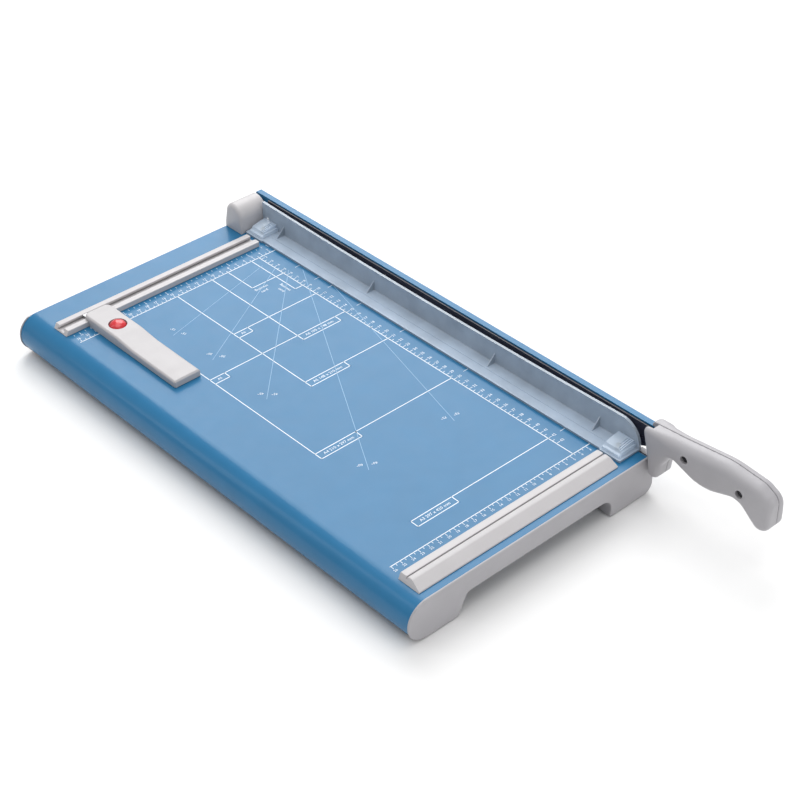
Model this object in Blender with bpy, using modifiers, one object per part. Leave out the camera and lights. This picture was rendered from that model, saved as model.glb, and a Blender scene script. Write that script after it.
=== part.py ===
"""A guillotine paper cutter: folded table, end caps, rails, backstop, clear clamp and a hinged blade arm.

Lengths are in millimetres in the table's own axes and become metres as each mesh is made.
X runs across the table with 0 on its right edge and the arm outboard at +X, Y runs along the cut with
0 on the front face of the rear rail and the handle at -Y, and Z is 0 on the table's surface.
A datum empty carries every piece, and is placed so that the whole cutter stands centred on the origin.
"""
import math

import bmesh
import bpy
from mathutils import Matrix, Vector

MM = 0.001
GAP = 0.3                     # air between pieces that touch
WELD = 0.000001               # merge distance in metres
ARC_STEP = math.radians(20)   # turn between two points of a rounded corner

# Table
SHEET = 1.5
TABLE_RIGHT = 0.0
ROLL_X = -264.6               # centre of the rolled left edge
ROLL_RADIUS = 20.0
FOLD_RADIUS = 2.0
FLANGE_LOW = -30.0
RETURN_DEPTH = 12.0
SHEET_FRONT = -497.0
SHEET_REAR = 55.0

# End caps
CAP_FRONT = -499.0
CAP_REAR = 57.0
CAP_PLATE = 1.7
CAP_DEPTH = 15.0
CAP_WALL = 4.5
CAP_TOP = 0.8
CAP_RIGHT = 6.5
FOOT_LOW = -40.4
ARCH_TOP = -20.0
ARCH_LEFT = -220.0
ARCH_RIGHT = -45.0
PAD_LOW = -41.2
PAD_RADIUS = 6.0
PAD_X = [-250.0, -25.0]
BRACE_STARTS = {"cross_brace_front": -400.0, "cross_brace_rear": -90.0}

# Rails
RAIL_LEFT = -267.0
RAIL_RIGHT = -31.0
RAIL_TOP = 5.6
RAIL_SCREW_X = [-250.0, -50.0]
SLOT_MOUTH = (6.9, 13.9)
SLOT_CAVITY = (5.2, 15.6)
FRONT_RAIL_BACK = -465.2
FRONT_RAIL_FRONT = -489.7

# Blades and arm
LOWER_BLADE_X = (0.3, 3.8)
LOWER_BLADE_LOW = -22.0
LOWER_SCREW_Y = [-440.0, -330.0, -220.0, -110.0, 0.0]
LOWER_SCREW_Z = -12.0
BLADE_REAR = 28.0
BLADE_X = (4.1, 5.9)
WEB_X = (6.2, 8.2)
ARM_OUTER = 13.2
ARM_TOP = 28.5
ARM_LOW = 4.0
ARM_REAR = 49.0
BLADE_SCREW_Y = [-475.5, -362.0, -249.0, -135.5, -22.0]
BLADE_SCREW_Z = 11.5

# Hinge
PIVOT_Y = 44.4
PIVOT_Z = 15.0
COVER_RADIUS = 14.6
COVER_SOFT_EDGE = 3.2
BRACKET_SCREWS = [(-9.5, 37.2), (-21.5, 37.2)]
COVER_X = (-31.0, 3.0)
COVER_BACK = 55.0
BOLT_RADIUS = 3.9

# Handle
SEAM_X = 6.0
HANDLE_X = (-7.0, 15.5)
HANDLE_ROUND = 3.0
HUMP_X = 17.0                 # outer side of the swelling that covers the arm's flange
HANDLE_HOLLOW = 6.0
HANDLE_SCREWS = [(-540.2, 24.7), (-599.8, 23.1)]

# Clamp
CLAMP_Y = (-487.5, 29.3)
CLAMP_WALL_X = (-2.3, 0.5)
CLAMP_TOP = 27.6
CLAMP_CROWN = 3.3
CLAMP_FOOT_Z = (0.9, 2.9)
CLAMP_FOOT_LEFT = -25.0
PIN_X = -14.0
PIN_Y = (-474.0, 15.0)
PIN_RADIUS = 2.5
BLOCK_LENGTH = 20.0

# Backstop
STOP_X = (-241.0, -211.5)
STOP_FRONT = -136.7
STOP_REAR = 9.5
BUTTON_Y = -27.8
BUTTON_RADIUS = 8.0

PLANES = {
    "XY": Matrix.Identity(4),
    "YZ": Matrix(((0, 0, 1, 0), (1, 0, 0, 0), (0, 1, 0, 0), (0, 0, 0, 1))),
    "XZ": Matrix(((1, 0, 0, 0), (0, 0, -1, 0), (0, 1, 0, 0), (0, 0, 0, 1))),
}
AXES = {
    "X": Matrix.Rotation(math.radians(90), 4, "Y"),
    "Y": Matrix.Rotation(math.radians(-90), 4, "X"),
    "Z": Matrix.Identity(4),
}


# ---------------------------------------------------------------- scene and collections

def clear_scene():
    for item in list(bpy.data.objects):
        bpy.data.objects.remove(item, do_unlink=True)


def new_collection(name):
    collection = bpy.data.collections.new(name)
    bpy.context.scene.collection.children.link(collection)
    return collection


def finish(name, colour, roughness, metallic=0.0):
    material = bpy.data.materials.new(name)
    material.use_nodes = True
    shader = material.node_tree.nodes["Principled BSDF"]
    shader.inputs["Base Color"].default_value = (*colour, 1.0)
    shader.inputs["Roughness"].default_value = roughness
    shader.inputs["Metallic"].default_value = metallic
    return material


def blue_paint(name):
    return finish(name, (0.13, 0.33, 0.58), 0.45)


def grey_plastic(name):
    return finish(name, (0.50, 0.49, 0.50), 0.5)


def light_plastic(name):
    return finish(name, (0.66, 0.64, 0.66), 0.45)


def clear_plastic(name):
    return finish(name, (0.55, 0.68, 0.78), 0.2)


def bright_steel(name):
    return finish(name, (0.62, 0.63, 0.65), 0.3, 1.0)


def dark_steel(name):
    return finish(name, (0.05, 0.05, 0.08), 0.35, 1.0)


def zinc(name):
    return finish(name, (0.55, 0.56, 0.58), 0.35, 1.0)


def bronze(name):
    return finish(name, (0.45, 0.30, 0.12), 0.4, 1.0)


def black_rubber(name):
    return finish(name, (0.02, 0.02, 0.02), 0.85)


def red_plastic(name):
    return finish(name, (0.72, 0.05, 0.07), 0.25)


# ---------------------------------------------------------------- outlines

def rounded(points):
    """Closed outline from corners (a, b) or (a, b, radius), with an arc at each corner that has a radius."""
    result = []
    count = len(points)
    for index, point in enumerate(points):
        corner = Vector(point[:2])
        if len(point) < 3:
            result.append(corner)
            continue
        before = (Vector(points[index - 1][:2]) - corner).normalized()
        after = (Vector(points[(index + 1) % count][:2]) - corner).normalized()
        half = before.angle(after) / 2
        centre = corner + (before + after).normalized() * point[2] / math.sin(half)
        start = corner + before * point[2] / math.tan(half) - centre
        end = corner + after * point[2] / math.tan(half) - centre
        turn = start.angle_signed(end)
        steps = max(2, math.ceil(abs(turn) / ARC_STEP))
        for step in range(steps + 1):
            result.append(centre + Matrix.Rotation(-turn * step / steps, 2) @ start)
    return result


def circle(centre, radius, steps=16):
    turns = [math.tau * step / steps for step in range(steps)]
    return [Vector((centre[0] + radius * math.cos(t), centre[1] + radius * math.sin(t))) for t in turns]


def box_outline(a_range, b_range):
    (left, right), (low, high) = a_range, b_range
    return [(left, low), (right, low), (right, high), (left, high)]


def offset_path(points, distance):
    """Open path moved sideways to its left by a distance, keeping its corners sharp."""
    result = []
    last = len(points) - 1
    for index, point in enumerate(points):
        before = (point - points[index - 1]).normalized() if index else None
        after = (points[index + 1] - point).normalized() if index < last else None
        before = before or after
        after = after or before
        normal = Vector((-before.y - after.y, before.x + after.x)).normalized()
        stretch = normal.dot(Vector((-after.y, after.x)))
        result.append(point + normal * distance / stretch)
    return result


def inset_corners(points, distance):
    """Corners of an anticlockwise outline moved inwards, with the radius that each arc then has."""
    places = [Vector(point[:2]) for point in points]
    moved = offset_path([places[-1]] + places + [places[0]], distance)[1:-1]
    result = []
    for index, point in enumerate(points):
        if len(point) < 3:
            result.append(tuple(moved[index]))
            continue
        before = places[index] - places[index - 1]
        after = places[(index + 1) % len(places)] - places[index]
        outwards = 1 if before.x * after.y > before.y * after.x else -1
        result.append((*moved[index], max(point[2] - outwards * distance, 0.6)))
    return result


# ---------------------------------------------------------------- pieces

def add(name, mesh, matrix, material=None):
    piece = bpy.data.objects.new(name, mesh)
    piece.matrix_world = matrix
    parts.objects.link(piece)
    if material:
        piece.data.materials.clear()
        piece.data.materials.append(material)
    return piece


def prism(name, plane, low, high, *loops, round_edge=0.0):
    """Solid between two heights over a flat outline, with further loops as holes through it."""
    curve = bpy.data.curves.new(name + "_outline", "CURVE")
    curve.dimensions = "2D"
    curve.fill_mode = "BOTH"
    curve.extrude = ((high - low) / 2 - round_edge) * MM
    curve.bevel_depth = round_edge * MM
    curve.bevel_resolution = 2
    curve.offset = -round_edge * MM
    for loop in loops:
        spline = curve.splines.new("POLY")
        spline.points.add(len(loop) - 1)
        for point, place in zip(spline.points, loop):
            point.co = (place[0] * MM, place[1] * MM, 0, 1)
        spline.use_cyclic_u = True
    guide = bpy.data.objects.new(name + "_outline", curve)
    side = -1 if plane == "XZ" else 1
    guide.matrix_world = PLANES[plane] @ Matrix.Translation((0, 0, side * (low + high) / 2 * MM))
    return settle(name, guide)


def settle(name, guide):
    """Mesh piece from a guide object as it is evaluated, with its loose caps welded."""
    bpy.context.scene.collection.objects.link(guide)
    graph = bpy.context.evaluated_depsgraph_get()
    mesh = bpy.data.meshes.new_from_object(guide.evaluated_get(graph))
    mesh.name = name
    shape = bmesh.new()
    shape.from_mesh(mesh)
    bmesh.ops.remove_doubles(shape, verts=shape.verts, dist=WELD)
    bmesh.ops.dissolve_degenerate(shape, edges=shape.edges, dist=WELD)
    bmesh.ops.recalc_face_normals(shape, faces=shape.faces)
    shape.to_mesh(mesh)
    shape.free()
    matrix = guide.matrix_world.copy()
    bpy.data.objects.remove(guide, do_unlink=True)
    return add(name, mesh, matrix)


def turned_mesh(name, profile, steps=16):
    """Mesh turned about Z from a profile (radius, height) that runs from top to bottom."""
    mesh = bpy.data.meshes.new(name + "_profile")
    shape = bmesh.new()
    points = [shape.verts.new((radius * MM, 0, height * MM)) for radius, height in profile]
    for start, end in zip(points, points[1:]):
        shape.edges.new((start, end))
    if profile[0][0] > 0:
        shape.edges.new((points[-1], points[0]))
    shape.to_mesh(mesh)
    shape.free()
    guide = bpy.data.objects.new(name + "_profile", mesh)
    screw = guide.modifiers.new("turn", "SCREW")
    screw.steps = steps
    screw.render_steps = steps
    screw.use_merge_vertices = True
    screw.merge_threshold = WELD
    piece = settle(name, guide)
    mesh = piece.data
    bpy.data.objects.remove(piece, do_unlink=True)
    return mesh


def copies(name, mesh, places, carrier, material, axis="Z"):
    """Equal pieces that share one mesh, numbered from 1, each at its place with its Z along an axis."""
    for number, place in enumerate(places, 1):
        piece = add(f"{name}_{number}", mesh, Matrix.Translation(Vector(place) * MM) @ AXES[axis])
        hand_over(piece, carrier, material)


def turned(name, profile, place, axis="Z", steps=16):
    mesh = turned_mesh(name, profile, steps)
    return add(name, mesh, Matrix.Translation(Vector(place) * MM) @ AXES[axis])


def bore(radius, place, low, high, axis="Z"):
    """Cutter for a round hole: place gives the hole's axis, low and high its span along the axis."""
    mesh = bpy.data.meshes.new("bore")
    shape = bmesh.new()
    bmesh.ops.create_cone(
        shape, cap_ends=True, segments=16, radius1=radius * MM, radius2=radius * MM, depth=(high - low) * MM)
    shape.to_mesh(mesh)
    shape.free()
    along = AXES[axis] @ Matrix.Translation((0, 0, (low + high) / 2 * MM))
    return add("bore", mesh, Matrix.Translation(Vector(place) * MM) @ along)


def block(name, x_range, y_range, z_range):
    return prism(name, "XY", *z_range, box_outline(x_range, y_range))


def combine(target, other, operation="DIFFERENCE"):
    """Cut a piece by another, or join another to it; the other one becomes a hidden cutter."""
    modifier = target.modifiers.new(operation.lower(), "BOOLEAN")
    modifier.operation = operation
    modifier.object = other
    parts.objects.unlink(other)
    cutters.objects.link(other)
    other.name = f"{target.name}_{operation.lower()}_{len(target.modifiers)}"
    other.hide_render = True
    other.display_type = "WIRE"
    other.parent = datum
    return target


def cut(target, *others):
    for other in others:
        combine(target, other)


def join(target, *others):
    for other in others:
        combine(target, other, "UNION")


def hand_over(piece, carrier, material):
    """Give a finished piece its material and hang it on its carrier without moving it."""
    piece.data.materials.clear()
    piece.data.materials.append(material)
    piece.parent = carrier
    piece.matrix_parent_inverse = carrier.matrix_world.inverted()


def smooth(piece, degrees=35):
    piece.data.shade_smooth()
    piece.data.set_sharp_from_angle(angle=math.radians(degrees))


# ---------------------------------------------------------------- table

def sheet_path():
    """Outer skin of the folded sheet seen from the handle end, from the right return to the left return."""
    start = [Vector((TABLE_RIGHT - RETURN_DEPTH, FLANGE_LOW)), Vector((TABLE_RIGHT, FLANGE_LOW))]
    fold = []
    for step in range(4):
        turn = math.radians(30 * step)
        centre = Vector((TABLE_RIGHT - FOLD_RADIUS, -FOLD_RADIUS))
        fold.append(centre + FOLD_RADIUS * Vector((math.cos(turn), math.sin(turn))))
    roll = []
    for step in range(10):
        turn = math.radians(90 + 15 * step)
        roll.append(Vector((ROLL_X, -ROLL_RADIUS)) + ROLL_RADIUS * Vector((math.cos(turn), math.sin(turn))))
    return start + fold + roll + [roll[-1] + Vector((RETURN_DEPTH, 0))]


def make_table_top():
    path = sheet_path()
    inner = offset_path(path, SHEET)
    top = prism("table_top", "XZ", SHEET_FRONT, SHEET_REAR, path + inner[::-1])
    for y in rail_screw_rows():
        for x in RAIL_SCREW_X:
            cut(top, bore(1.9, (x, y, 0), -5, 5))
    for y in PIN_Y:
        cut(top, bore(4.3, (PIN_X, y, 0), -5, 5))
    for x, y in BRACKET_SCREWS:
        cut(top, bore(2.4, (x, y, 0), -5, 5))
    for y in LOWER_SCREW_Y:
        cut(top, bore(2.4, (0, y, LOWER_SCREW_Z), -5, 5, "X"))
    hand_over(top, datum, blue_paint("table_blue"))
    smooth(top)


def cap_corners():
    """Corners of an end cap, drawn anticlockwise in X and Z, with its two feet and the arch between them."""
    left = ROLL_X - ROLL_RADIUS - CAP_TOP
    return [
        (CAP_RIGHT, CAP_TOP, 1.2),
        (left, CAP_TOP, ROLL_RADIUS + CAP_TOP / 2 - 0.2),
        (left, FOOT_LOW, ROLL_RADIUS + CAP_TOP / 2 - 0.2),
        (-230.0, FOOT_LOW, 4.0),
        (ARCH_LEFT, ARCH_TOP, 6.0),
        (ARCH_RIGHT, ARCH_TOP, 12.5),
        (ARCH_RIGHT - 3.0, FOOT_LOW, 1.0),
        (CAP_RIGHT, FOOT_LOW, 10.0),
    ]


def make_end_cap(name, face, inward):
    """End cap whose outer face is at Y = face; inward is the way from there into the table."""
    def span(near, far):
        return sorted((face + inward * near, face + inward * far))

    cap = prism(name, "XZ", *span(0, CAP_DEPTH), rounded(cap_corners()))
    path = sheet_path()
    slot = offset_path(path, -2.0) + offset_path(path, SHEET + GAP)[::-1]
    cut(cap, prism("slot", "XZ", *span(CAP_PLATE, CAP_DEPTH + 5), slot))
    beside = (TABLE_RIGHT - 0.5, CAP_RIGHT + 5)
    cut(cap, block("top_step", beside, span(CAP_PLATE, CAP_DEPTH + 5), (-0.3, 5.0)))
    pocket = rounded(inset_corners(cap_corners(), CAP_WALL))
    cut(cap, prism("pocket", "XZ", *span(CAP_PLATE + 2, CAP_DEPTH + 5), pocket))
    middle = face + inward * CAP_DEPTH / 2
    for x in PAD_X:
        cut(cap, bore(PAD_RADIUS + GAP, (x, middle, 0), FOOT_LOW - 5, FOOT_LOW + 1.6))
    hand_over(cap, datum, grey_plastic(name))


def make_rubber_feet():
    pad = [(0, FOOT_LOW + 1.3), (PAD_RADIUS, FOOT_LOW + 1.3), (PAD_RADIUS, PAD_LOW + 0.3),
           (PAD_RADIUS - 0.4, PAD_LOW), (0, PAD_LOW)]
    rows = (CAP_FRONT + CAP_DEPTH / 2, CAP_REAR - CAP_DEPTH / 2)
    places = [(x, y, 0) for x in PAD_X for y in rows]
    copies("rubber_foot", turned_mesh("pad", pad), places, datum, black_rubber("foot_rubber"))


def make_cross_braces():
    """Two hat-section stiffeners welded under the sheet."""
    low = -SHEET - GAP
    hat = [(0, low), (0, low - 1.5), (8.5, low - 1.5), (8.5, low - 14), (31.5, low - 14), (31.5, low - 1.5),
           (40, low - 1.5), (40, low), (30, low), (30, low - 12.5), (10, low - 12.5), (10, low)]
    for name, start in BRACE_STARTS.items():
        brace = prism(name, "YZ", -262.0, -6.0, [(start + a, b) for a, b in hat])
        hand_over(brace, datum, zinc(name))


# ---------------------------------------------------------------- rails

def rail_screw_rows():
    return (2.8, FRONT_RAIL_BACK - 12.0)


def make_rear_rail():
    """Paper stop with a T-slot that the backstop slides in."""
    mouth = SLOT_MOUTH
    cavity = SLOT_CAVITY
    outline = [
        (0, GAP), (20.4, GAP), (20.4, RAIL_TOP - 0.8), (19.6, RAIL_TOP), (mouth[1], RAIL_TOP),
        (mouth[1], 3.4), (cavity[1], 3.4), (cavity[1], 1.5), (cavity[0], 1.5), (cavity[0], 3.4),
        (mouth[0], 3.4), (mouth[0], RAIL_TOP), (0.6, RAIL_TOP), (0, RAIL_TOP - 0.6),
    ]
    rail = prism("rear_rail", "YZ", RAIL_LEFT, RAIL_RIGHT, outline)
    for x in RAIL_SCREW_X:
        cut(rail, bore(1.8, (x, rail_screw_rows()[0], 0), -2, 4.2))
    hand_over(rail, datum, light_plastic("rear_rail"))


def make_front_rail():
    """Front rail: a flat ridge, a thin slot and a crest that slopes down to the table's front."""
    back = FRONT_RAIL_BACK
    outline = [
        (FRONT_RAIL_FRONT, GAP), (back, GAP), (back, 5.8), (back - 0.5, 6.3), (back - 7.2, 6.3),
        (back - 7.2, 3.8), (back - 8.3, 3.8), (back - 8.3, 6.0), (back - 9.3, 6.6), (back - 13.5, 6.3),
        (FRONT_RAIL_FRONT + 0.6, 1.6), (FRONT_RAIL_FRONT, 0.9),
    ]
    rail = prism("front_rail", "YZ", RAIL_LEFT + 1.5, RAIL_RIGHT, outline)
    for x in RAIL_SCREW_X:
        cut(rail, bore(1.8, (x, rail_screw_rows()[1], 0), -2, 4.2))
    hand_over(rail, datum, light_plastic("front_rail"))


def make_rail_screws():
    under = -SHEET - GAP
    screw = [(0, 3.9), (1.5, 3.5), (1.5, under), (3.2, under), (3.0, -3.4), (1.8, -4.2), (0, -4.4)]
    places = [(x, y, 0) for y in rail_screw_rows() for x in RAIL_SCREW_X]
    copies("rail_screw", turned_mesh("rail_screw", screw, 12), places, datum, zinc("rail_screw"))


# ---------------------------------------------------------------- lower blade

def make_lower_blade():
    span = (CAP_FRONT + CAP_DEPTH + GAP, BLADE_REAR)
    blade = prism("lower_blade", "XZ", *span, box_outline(LOWER_BLADE_X, (LOWER_BLADE_LOW, 0)))
    for y in LOWER_SCREW_Y:
        cut(blade, bore(2.3, (0, y, LOWER_SCREW_Z), -1, 3.0, "X"))
    hand_over(blade, datum, bright_steel("lower_blade"))
    under = -SHEET - GAP
    screw = [(0, 2.7), (2.0, 2.2), (2.0, under), (3.8, under), (3.6, -3.6), (2.2, -4.4), (0, -4.6)]
    places = [(0, y, LOWER_SCREW_Z) for y in LOWER_SCREW_Y]
    mesh = turned_mesh("lower_blade_screw", screw, 12)
    copies("lower_blade_screw", mesh, places, datum, zinc("lower_blade_screw"), "X")


# ---------------------------------------------------------------- hinge

def cover_outline(radius, low, back):
    """Round-topped outline about the pivot, drawn in Y and Z, with a flat bottom and a flat back."""
    points = [(PIVOT_Y - radius, low), (back, low)]
    for step in range(13):
        turn = math.radians(15 * step)
        points.append((min(PIVOT_Y + radius * math.cos(turn), back), PIVOT_Z + radius * math.sin(turn)))
    return points


def make_hinge_cover():
    wall = 2.5
    cover = prism("hinge_cover", "YZ", *COVER_X, cover_outline(COVER_RADIUS, GAP, COVER_BACK))
    rim = cover.modifiers.new("soft_edge", "BEVEL")
    rim.width = COVER_SOFT_EDGE * MM
    rim.segments = 3
    rim.limit_method = "ANGLE"
    rim.angle_limit = math.radians(60)
    hollow = cover_outline(COVER_RADIUS - wall, -5, COVER_BACK - 2.0)
    inside = prism("inside", "YZ", COVER_X[0] + wall, COVER_X[1] - wall, hollow)
    cut(cover, inside, bore(8.0, (0, PIVOT_Y, PIVOT_Z), -3, 8, "X"))
    hand_over(cover, datum, light_plastic("hinge_cover"))
    smooth(cover)


def make_hinge_bracket():
    plate = 3.0
    back = -1.5
    bracket = prism(
        "hinge_bracket", "YZ", back - plate, back, cover_outline(9.0, GAP, PIVOT_Y + 8.0),
        circle((PIVOT_Y, PIVOT_Z), BOLT_RADIUS + GAP))
    join(bracket, block("base", (-26.0, back - 0.5), (PIVOT_Y - 11.5, PIVOT_Y + 8.0), (GAP, GAP + plate)))
    for x, y in BRACKET_SCREWS:
        cut(bracket, bore(2.4, (x, y, 0), -1, 5))
    hand_over(bracket, datum, zinc("hinge_bracket"))
    top = GAP + plate + GAP
    screw = [(0, top + 2.6), (2.2, top + 2.4), (3.8, top + 1.2), (4.0, top), (2.1, top), (2.1, -8.0),
             (1.7, -9.0), (0, -9.0)]
    places = [(x, y, 0) for x, y in BRACKET_SCREWS]
    copies("bracket_screw", turned_mesh("bracket_screw", screw, 12), places, datum, zinc("bracket_screw"))


def make_pivot():
    """Bolt, nut, spring washer and bush that the arm turns on."""
    place = (0, PIVOT_Y, PIVOT_Z)
    head = WEB_X[1] + GAP
    bolt = [(0, head + 4.0), (3.6, head + 4.0), (5.0, head + 3.0), (5.0, head), (BOLT_RADIUS, head),
            (BOLT_RADIUS, -13.0), (BOLT_RADIUS - 0.6, -13.6), (0, -13.6)]
    hand_over(turned("pivot_bolt", bolt, place, "X", 24), datum, bright_steel("pivot_bolt"))
    inner = BOLT_RADIUS + GAP
    bush = [(inner, 5.9), (7.0, 5.9), (7.0, -1.2), (inner, -1.2)]
    hand_over(turned("pivot_bush", bush, place, "X", 24), arm_pivot, bronze("pivot_bush"))
    nut = prism("pivot_nut", "YZ", -12.3, -8.0, circle(place[1:], 7.5, 6), circle(place[1:], inner))
    hand_over(nut, datum, zinc("pivot_nut"))
    cone = [(inner, -4.9), (7.2, -6.0), (7.2, -7.4), (inner, -6.3)]
    hand_over(turned("pivot_spring_washer", cone, place, "X", 20), datum, zinc("pivot_spring_washer"))


# ---------------------------------------------------------------- arm and blade

def arm_web_corners():
    return [
        (ARM_REAR, ARM_TOP, 1.0), (-505.0, ARM_TOP), (-545.0, 31.5), (-606.0, 31.0, 4.0), (-608.0, 18.0, 5.0),
        (-545.0, 20.5), (-514.0, 20.0, 5.0), (-505.0, 10.0, 5.0), (-484.0, ARM_LOW + 1.0), (30.0, ARM_LOW),
        (ARM_REAR + 3.0, ARM_LOW, 8.0), (ARM_REAR + 3.0, 22.0, 4.0),
    ]


def make_cutting_arm():
    """Folded steel arm: a web with a tang inside the handle, and a flange with a turned-down lip on top."""
    holes = [circle((PIVOT_Y, PIVOT_Z), BOLT_RADIUS + GAP)]
    holes += [circle((y, BLADE_SCREW_Z), 2.4, 12) for y in BLADE_SCREW_Y]
    holes += [circle(place, 2.4, 12) for place in HANDLE_SCREWS]
    arm = prism("cutting_arm", "YZ", *WEB_X, rounded(arm_web_corners()), *holes)
    sheet = WEB_X[1] - WEB_X[0]
    flange = rounded([
        (WEB_X[0] + 0.2, ARM_TOP), (WEB_X[0] + 0.2, ARM_TOP - sheet), (ARM_OUTER - sheet, ARM_TOP - sheet),
        (ARM_OUTER - sheet, ARM_TOP - 8.0), (ARM_OUTER, ARM_TOP - 8.0), (ARM_OUTER, ARM_TOP, 1.5)])
    join(arm, prism("flange", "XZ", -504.0, ARM_REAR - 0.4, flange))
    hand_over(arm, arm_pivot, blue_paint("arm_blue"))


def make_upper_blade():
    """Blade with a ground lower edge; its tip is cut back clear of the front end cap."""
    top = 27.2
    outline = [(BLADE_REAR, top), (-505.0, top), (-505.0, 12.0), (-483.4, 2.2), (-479.5, -5.0),
               (BLADE_REAR - 6.0, -5.0), (BLADE_REAR, 0.0)]
    holes = [circle((y, BLADE_SCREW_Z), 2.4, 12) for y in BLADE_SCREW_Y]
    blade = prism("upper_blade", "YZ", *BLADE_X, outline, *holes)
    for y in BLADE_SCREW_Y:
        sink = turned_mesh("sink", [(0, 3.0), (6.8, 3.0), (2.5, -1.4), (0, -1.4)])
        cut(blade, add("sink", sink, Matrix.Translation(Vector((BLADE_X[0], y, BLADE_SCREW_Z)) * MM)
            @ Matrix.Rotation(math.radians(-90), 4, "Y")))
    hand_over(blade, arm_pivot, dark_steel("upper_blade"))


def make_blade_fasteners():
    head = -BLADE_X[0] - 0.05
    screw = [(0, head), (3.3, head), (2.0, head - 1.3), (2.0, -11.4), (1.5, -12.0), (0, -12.0)]
    mesh = turned_mesh("blade_screw", screw, 12)
    mesh.transform(Matrix.Rotation(math.radians(180), 4, "X"))
    places = [(0, y, BLADE_SCREW_Z) for y in BLADE_SCREW_Y]
    copies("blade_screw", mesh, places, arm_pivot, dark_steel("blade_screw"), "X")
    inner = 2.3
    nut = [(inner, 11.3), (3.4, 11.3), (4.0, 10.9), (4.0, WEB_X[1] + GAP), (inner, WEB_X[1] + GAP)]
    copies("blade_nut", turned_mesh("blade_nut", nut, 6), places, arm_pivot, zinc("blade_nut"), "X")


# ---------------------------------------------------------------- handle

def handle_corners():
    """Corners of the handle's side outline, drawn anticlockwise in Y and Z, with a chin at the arm's end."""
    return [
        (-491.8, 33.5, 5.0), (-505.0, 34.6, 8.0), (-530.0, 36.5, 40.0), (-582.0, 42.0, 60.0),
        (-617.0, 38.5, 16.0), (-631.8, 30.5, 11.0), (-631.8, 0.5, 7.5), (-620.5, -3.5, 8.5),
        (-597.5, 16.0, 15.0), (-560.0, 4.0, 40.0), (-524.0, 17.5, 7.0), (-514.5, 2.0, 8.0),
        (-512.2, -14.5, 5.2), (-501.8, -14.5, 5.0), (-499.4, 3.0, 12.0),
    ]


def handle_core():
    """Outline of the hollow inside both shells, clear of the chin and of the rear screw."""
    return [
        (-518.0, 30.5, 3.0), (-530.0, 32.0, 30.0), (-588.0, 37.0, 3.0), (-588.0, 16.5, 3.0),
        (-560.0, 9.2, 30.0), (-526.5, 21.6, 8.0),
    ]


def make_handle_shells():
    """Two half shells that meet on the seam and hold the arm's tang between them."""
    outline = rounded(handle_corners())
    middle = SEAM_X
    hump = rounded([(-491.4, 34.4, 6.0), (-514.0, 34.4, 8.0), (-514.0, 4.0, 6.0), (-498.4, 4.0, 5.0)])
    for name, inner, outer in (("handle_shell_left", middle - GAP / 2, HANDLE_X[0]),
                               ("handle_shell_right", middle + GAP / 2, HANDLE_X[1])):
        side = 1 if outer > middle else -1
        half = abs(outer - middle)
        shell = prism(name, "YZ", middle - half, middle + half, outline, round_edge=HANDLE_ROUND)
        if side > 0:
            join(shell, prism("hump", "YZ", 2 * middle - HUMP_X, HUMP_X, hump, round_edge=HANDLE_ROUND))
        away = sorted((inner, inner - side * 40))
        cut(shell, block("other_half", away, (-700, -400), (-100, 100)))
        hollow = sorted((middle - side * 1.0, middle + side * HANDLE_HOLLOW))
        boss = circle(HANDLE_SCREWS[0], 5.0)
        cut(shell, prism("core", "YZ", *hollow, rounded(handle_core()), boss))
        yield shell


def make_handle():
    left, right = make_handle_shells()
    cut(left, block("blade_recess", (BLADE_X[0] - GAP, 20), (-506.5, -480), (-30, 60)))
    tang = rounded(inset_corners(arm_web_corners(), -GAP))
    cut(right, prism("tang_recess", "YZ", 0, WEB_X[1] + GAP, tang))
    cut(right, block("flange_recess", (0, ARM_OUTER + GAP), (-506.5, -480), (ARM_TOP - 8.5, ARM_TOP + GAP)))
    for y, z in HANDLE_SCREWS:
        cut(left, bore(2.4, (0, y, z), -20, 10, "X"), bore(3.9, (0, y, z), -20, -2.4, "X"))
        cut(right, bore(2.3, (0, y, z), 0, 14.0, "X"))
    hand_over(left, arm_pivot, grey_plastic("handle_left"))
    hand_over(right, arm_pivot, grey_plastic("handle_right"))
    smooth(left)
    smooth(right)
    screw = [(0, 13.6), (1.4, 13.0), (2.0, 12.2), (2.0, -2.7), (3.5, -2.7), (3.3, -4.4), (2.0, -5.2),
             (0, -5.4)]
    places = [(0, y, z) for y, z in HANDLE_SCREWS]
    mesh = turned_mesh("handle_screw", screw, 14)
    copies("handle_screw", mesh, places, arm_pivot, dark_steel("handle_screw"), "X")


# ---------------------------------------------------------------- clamp

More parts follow.
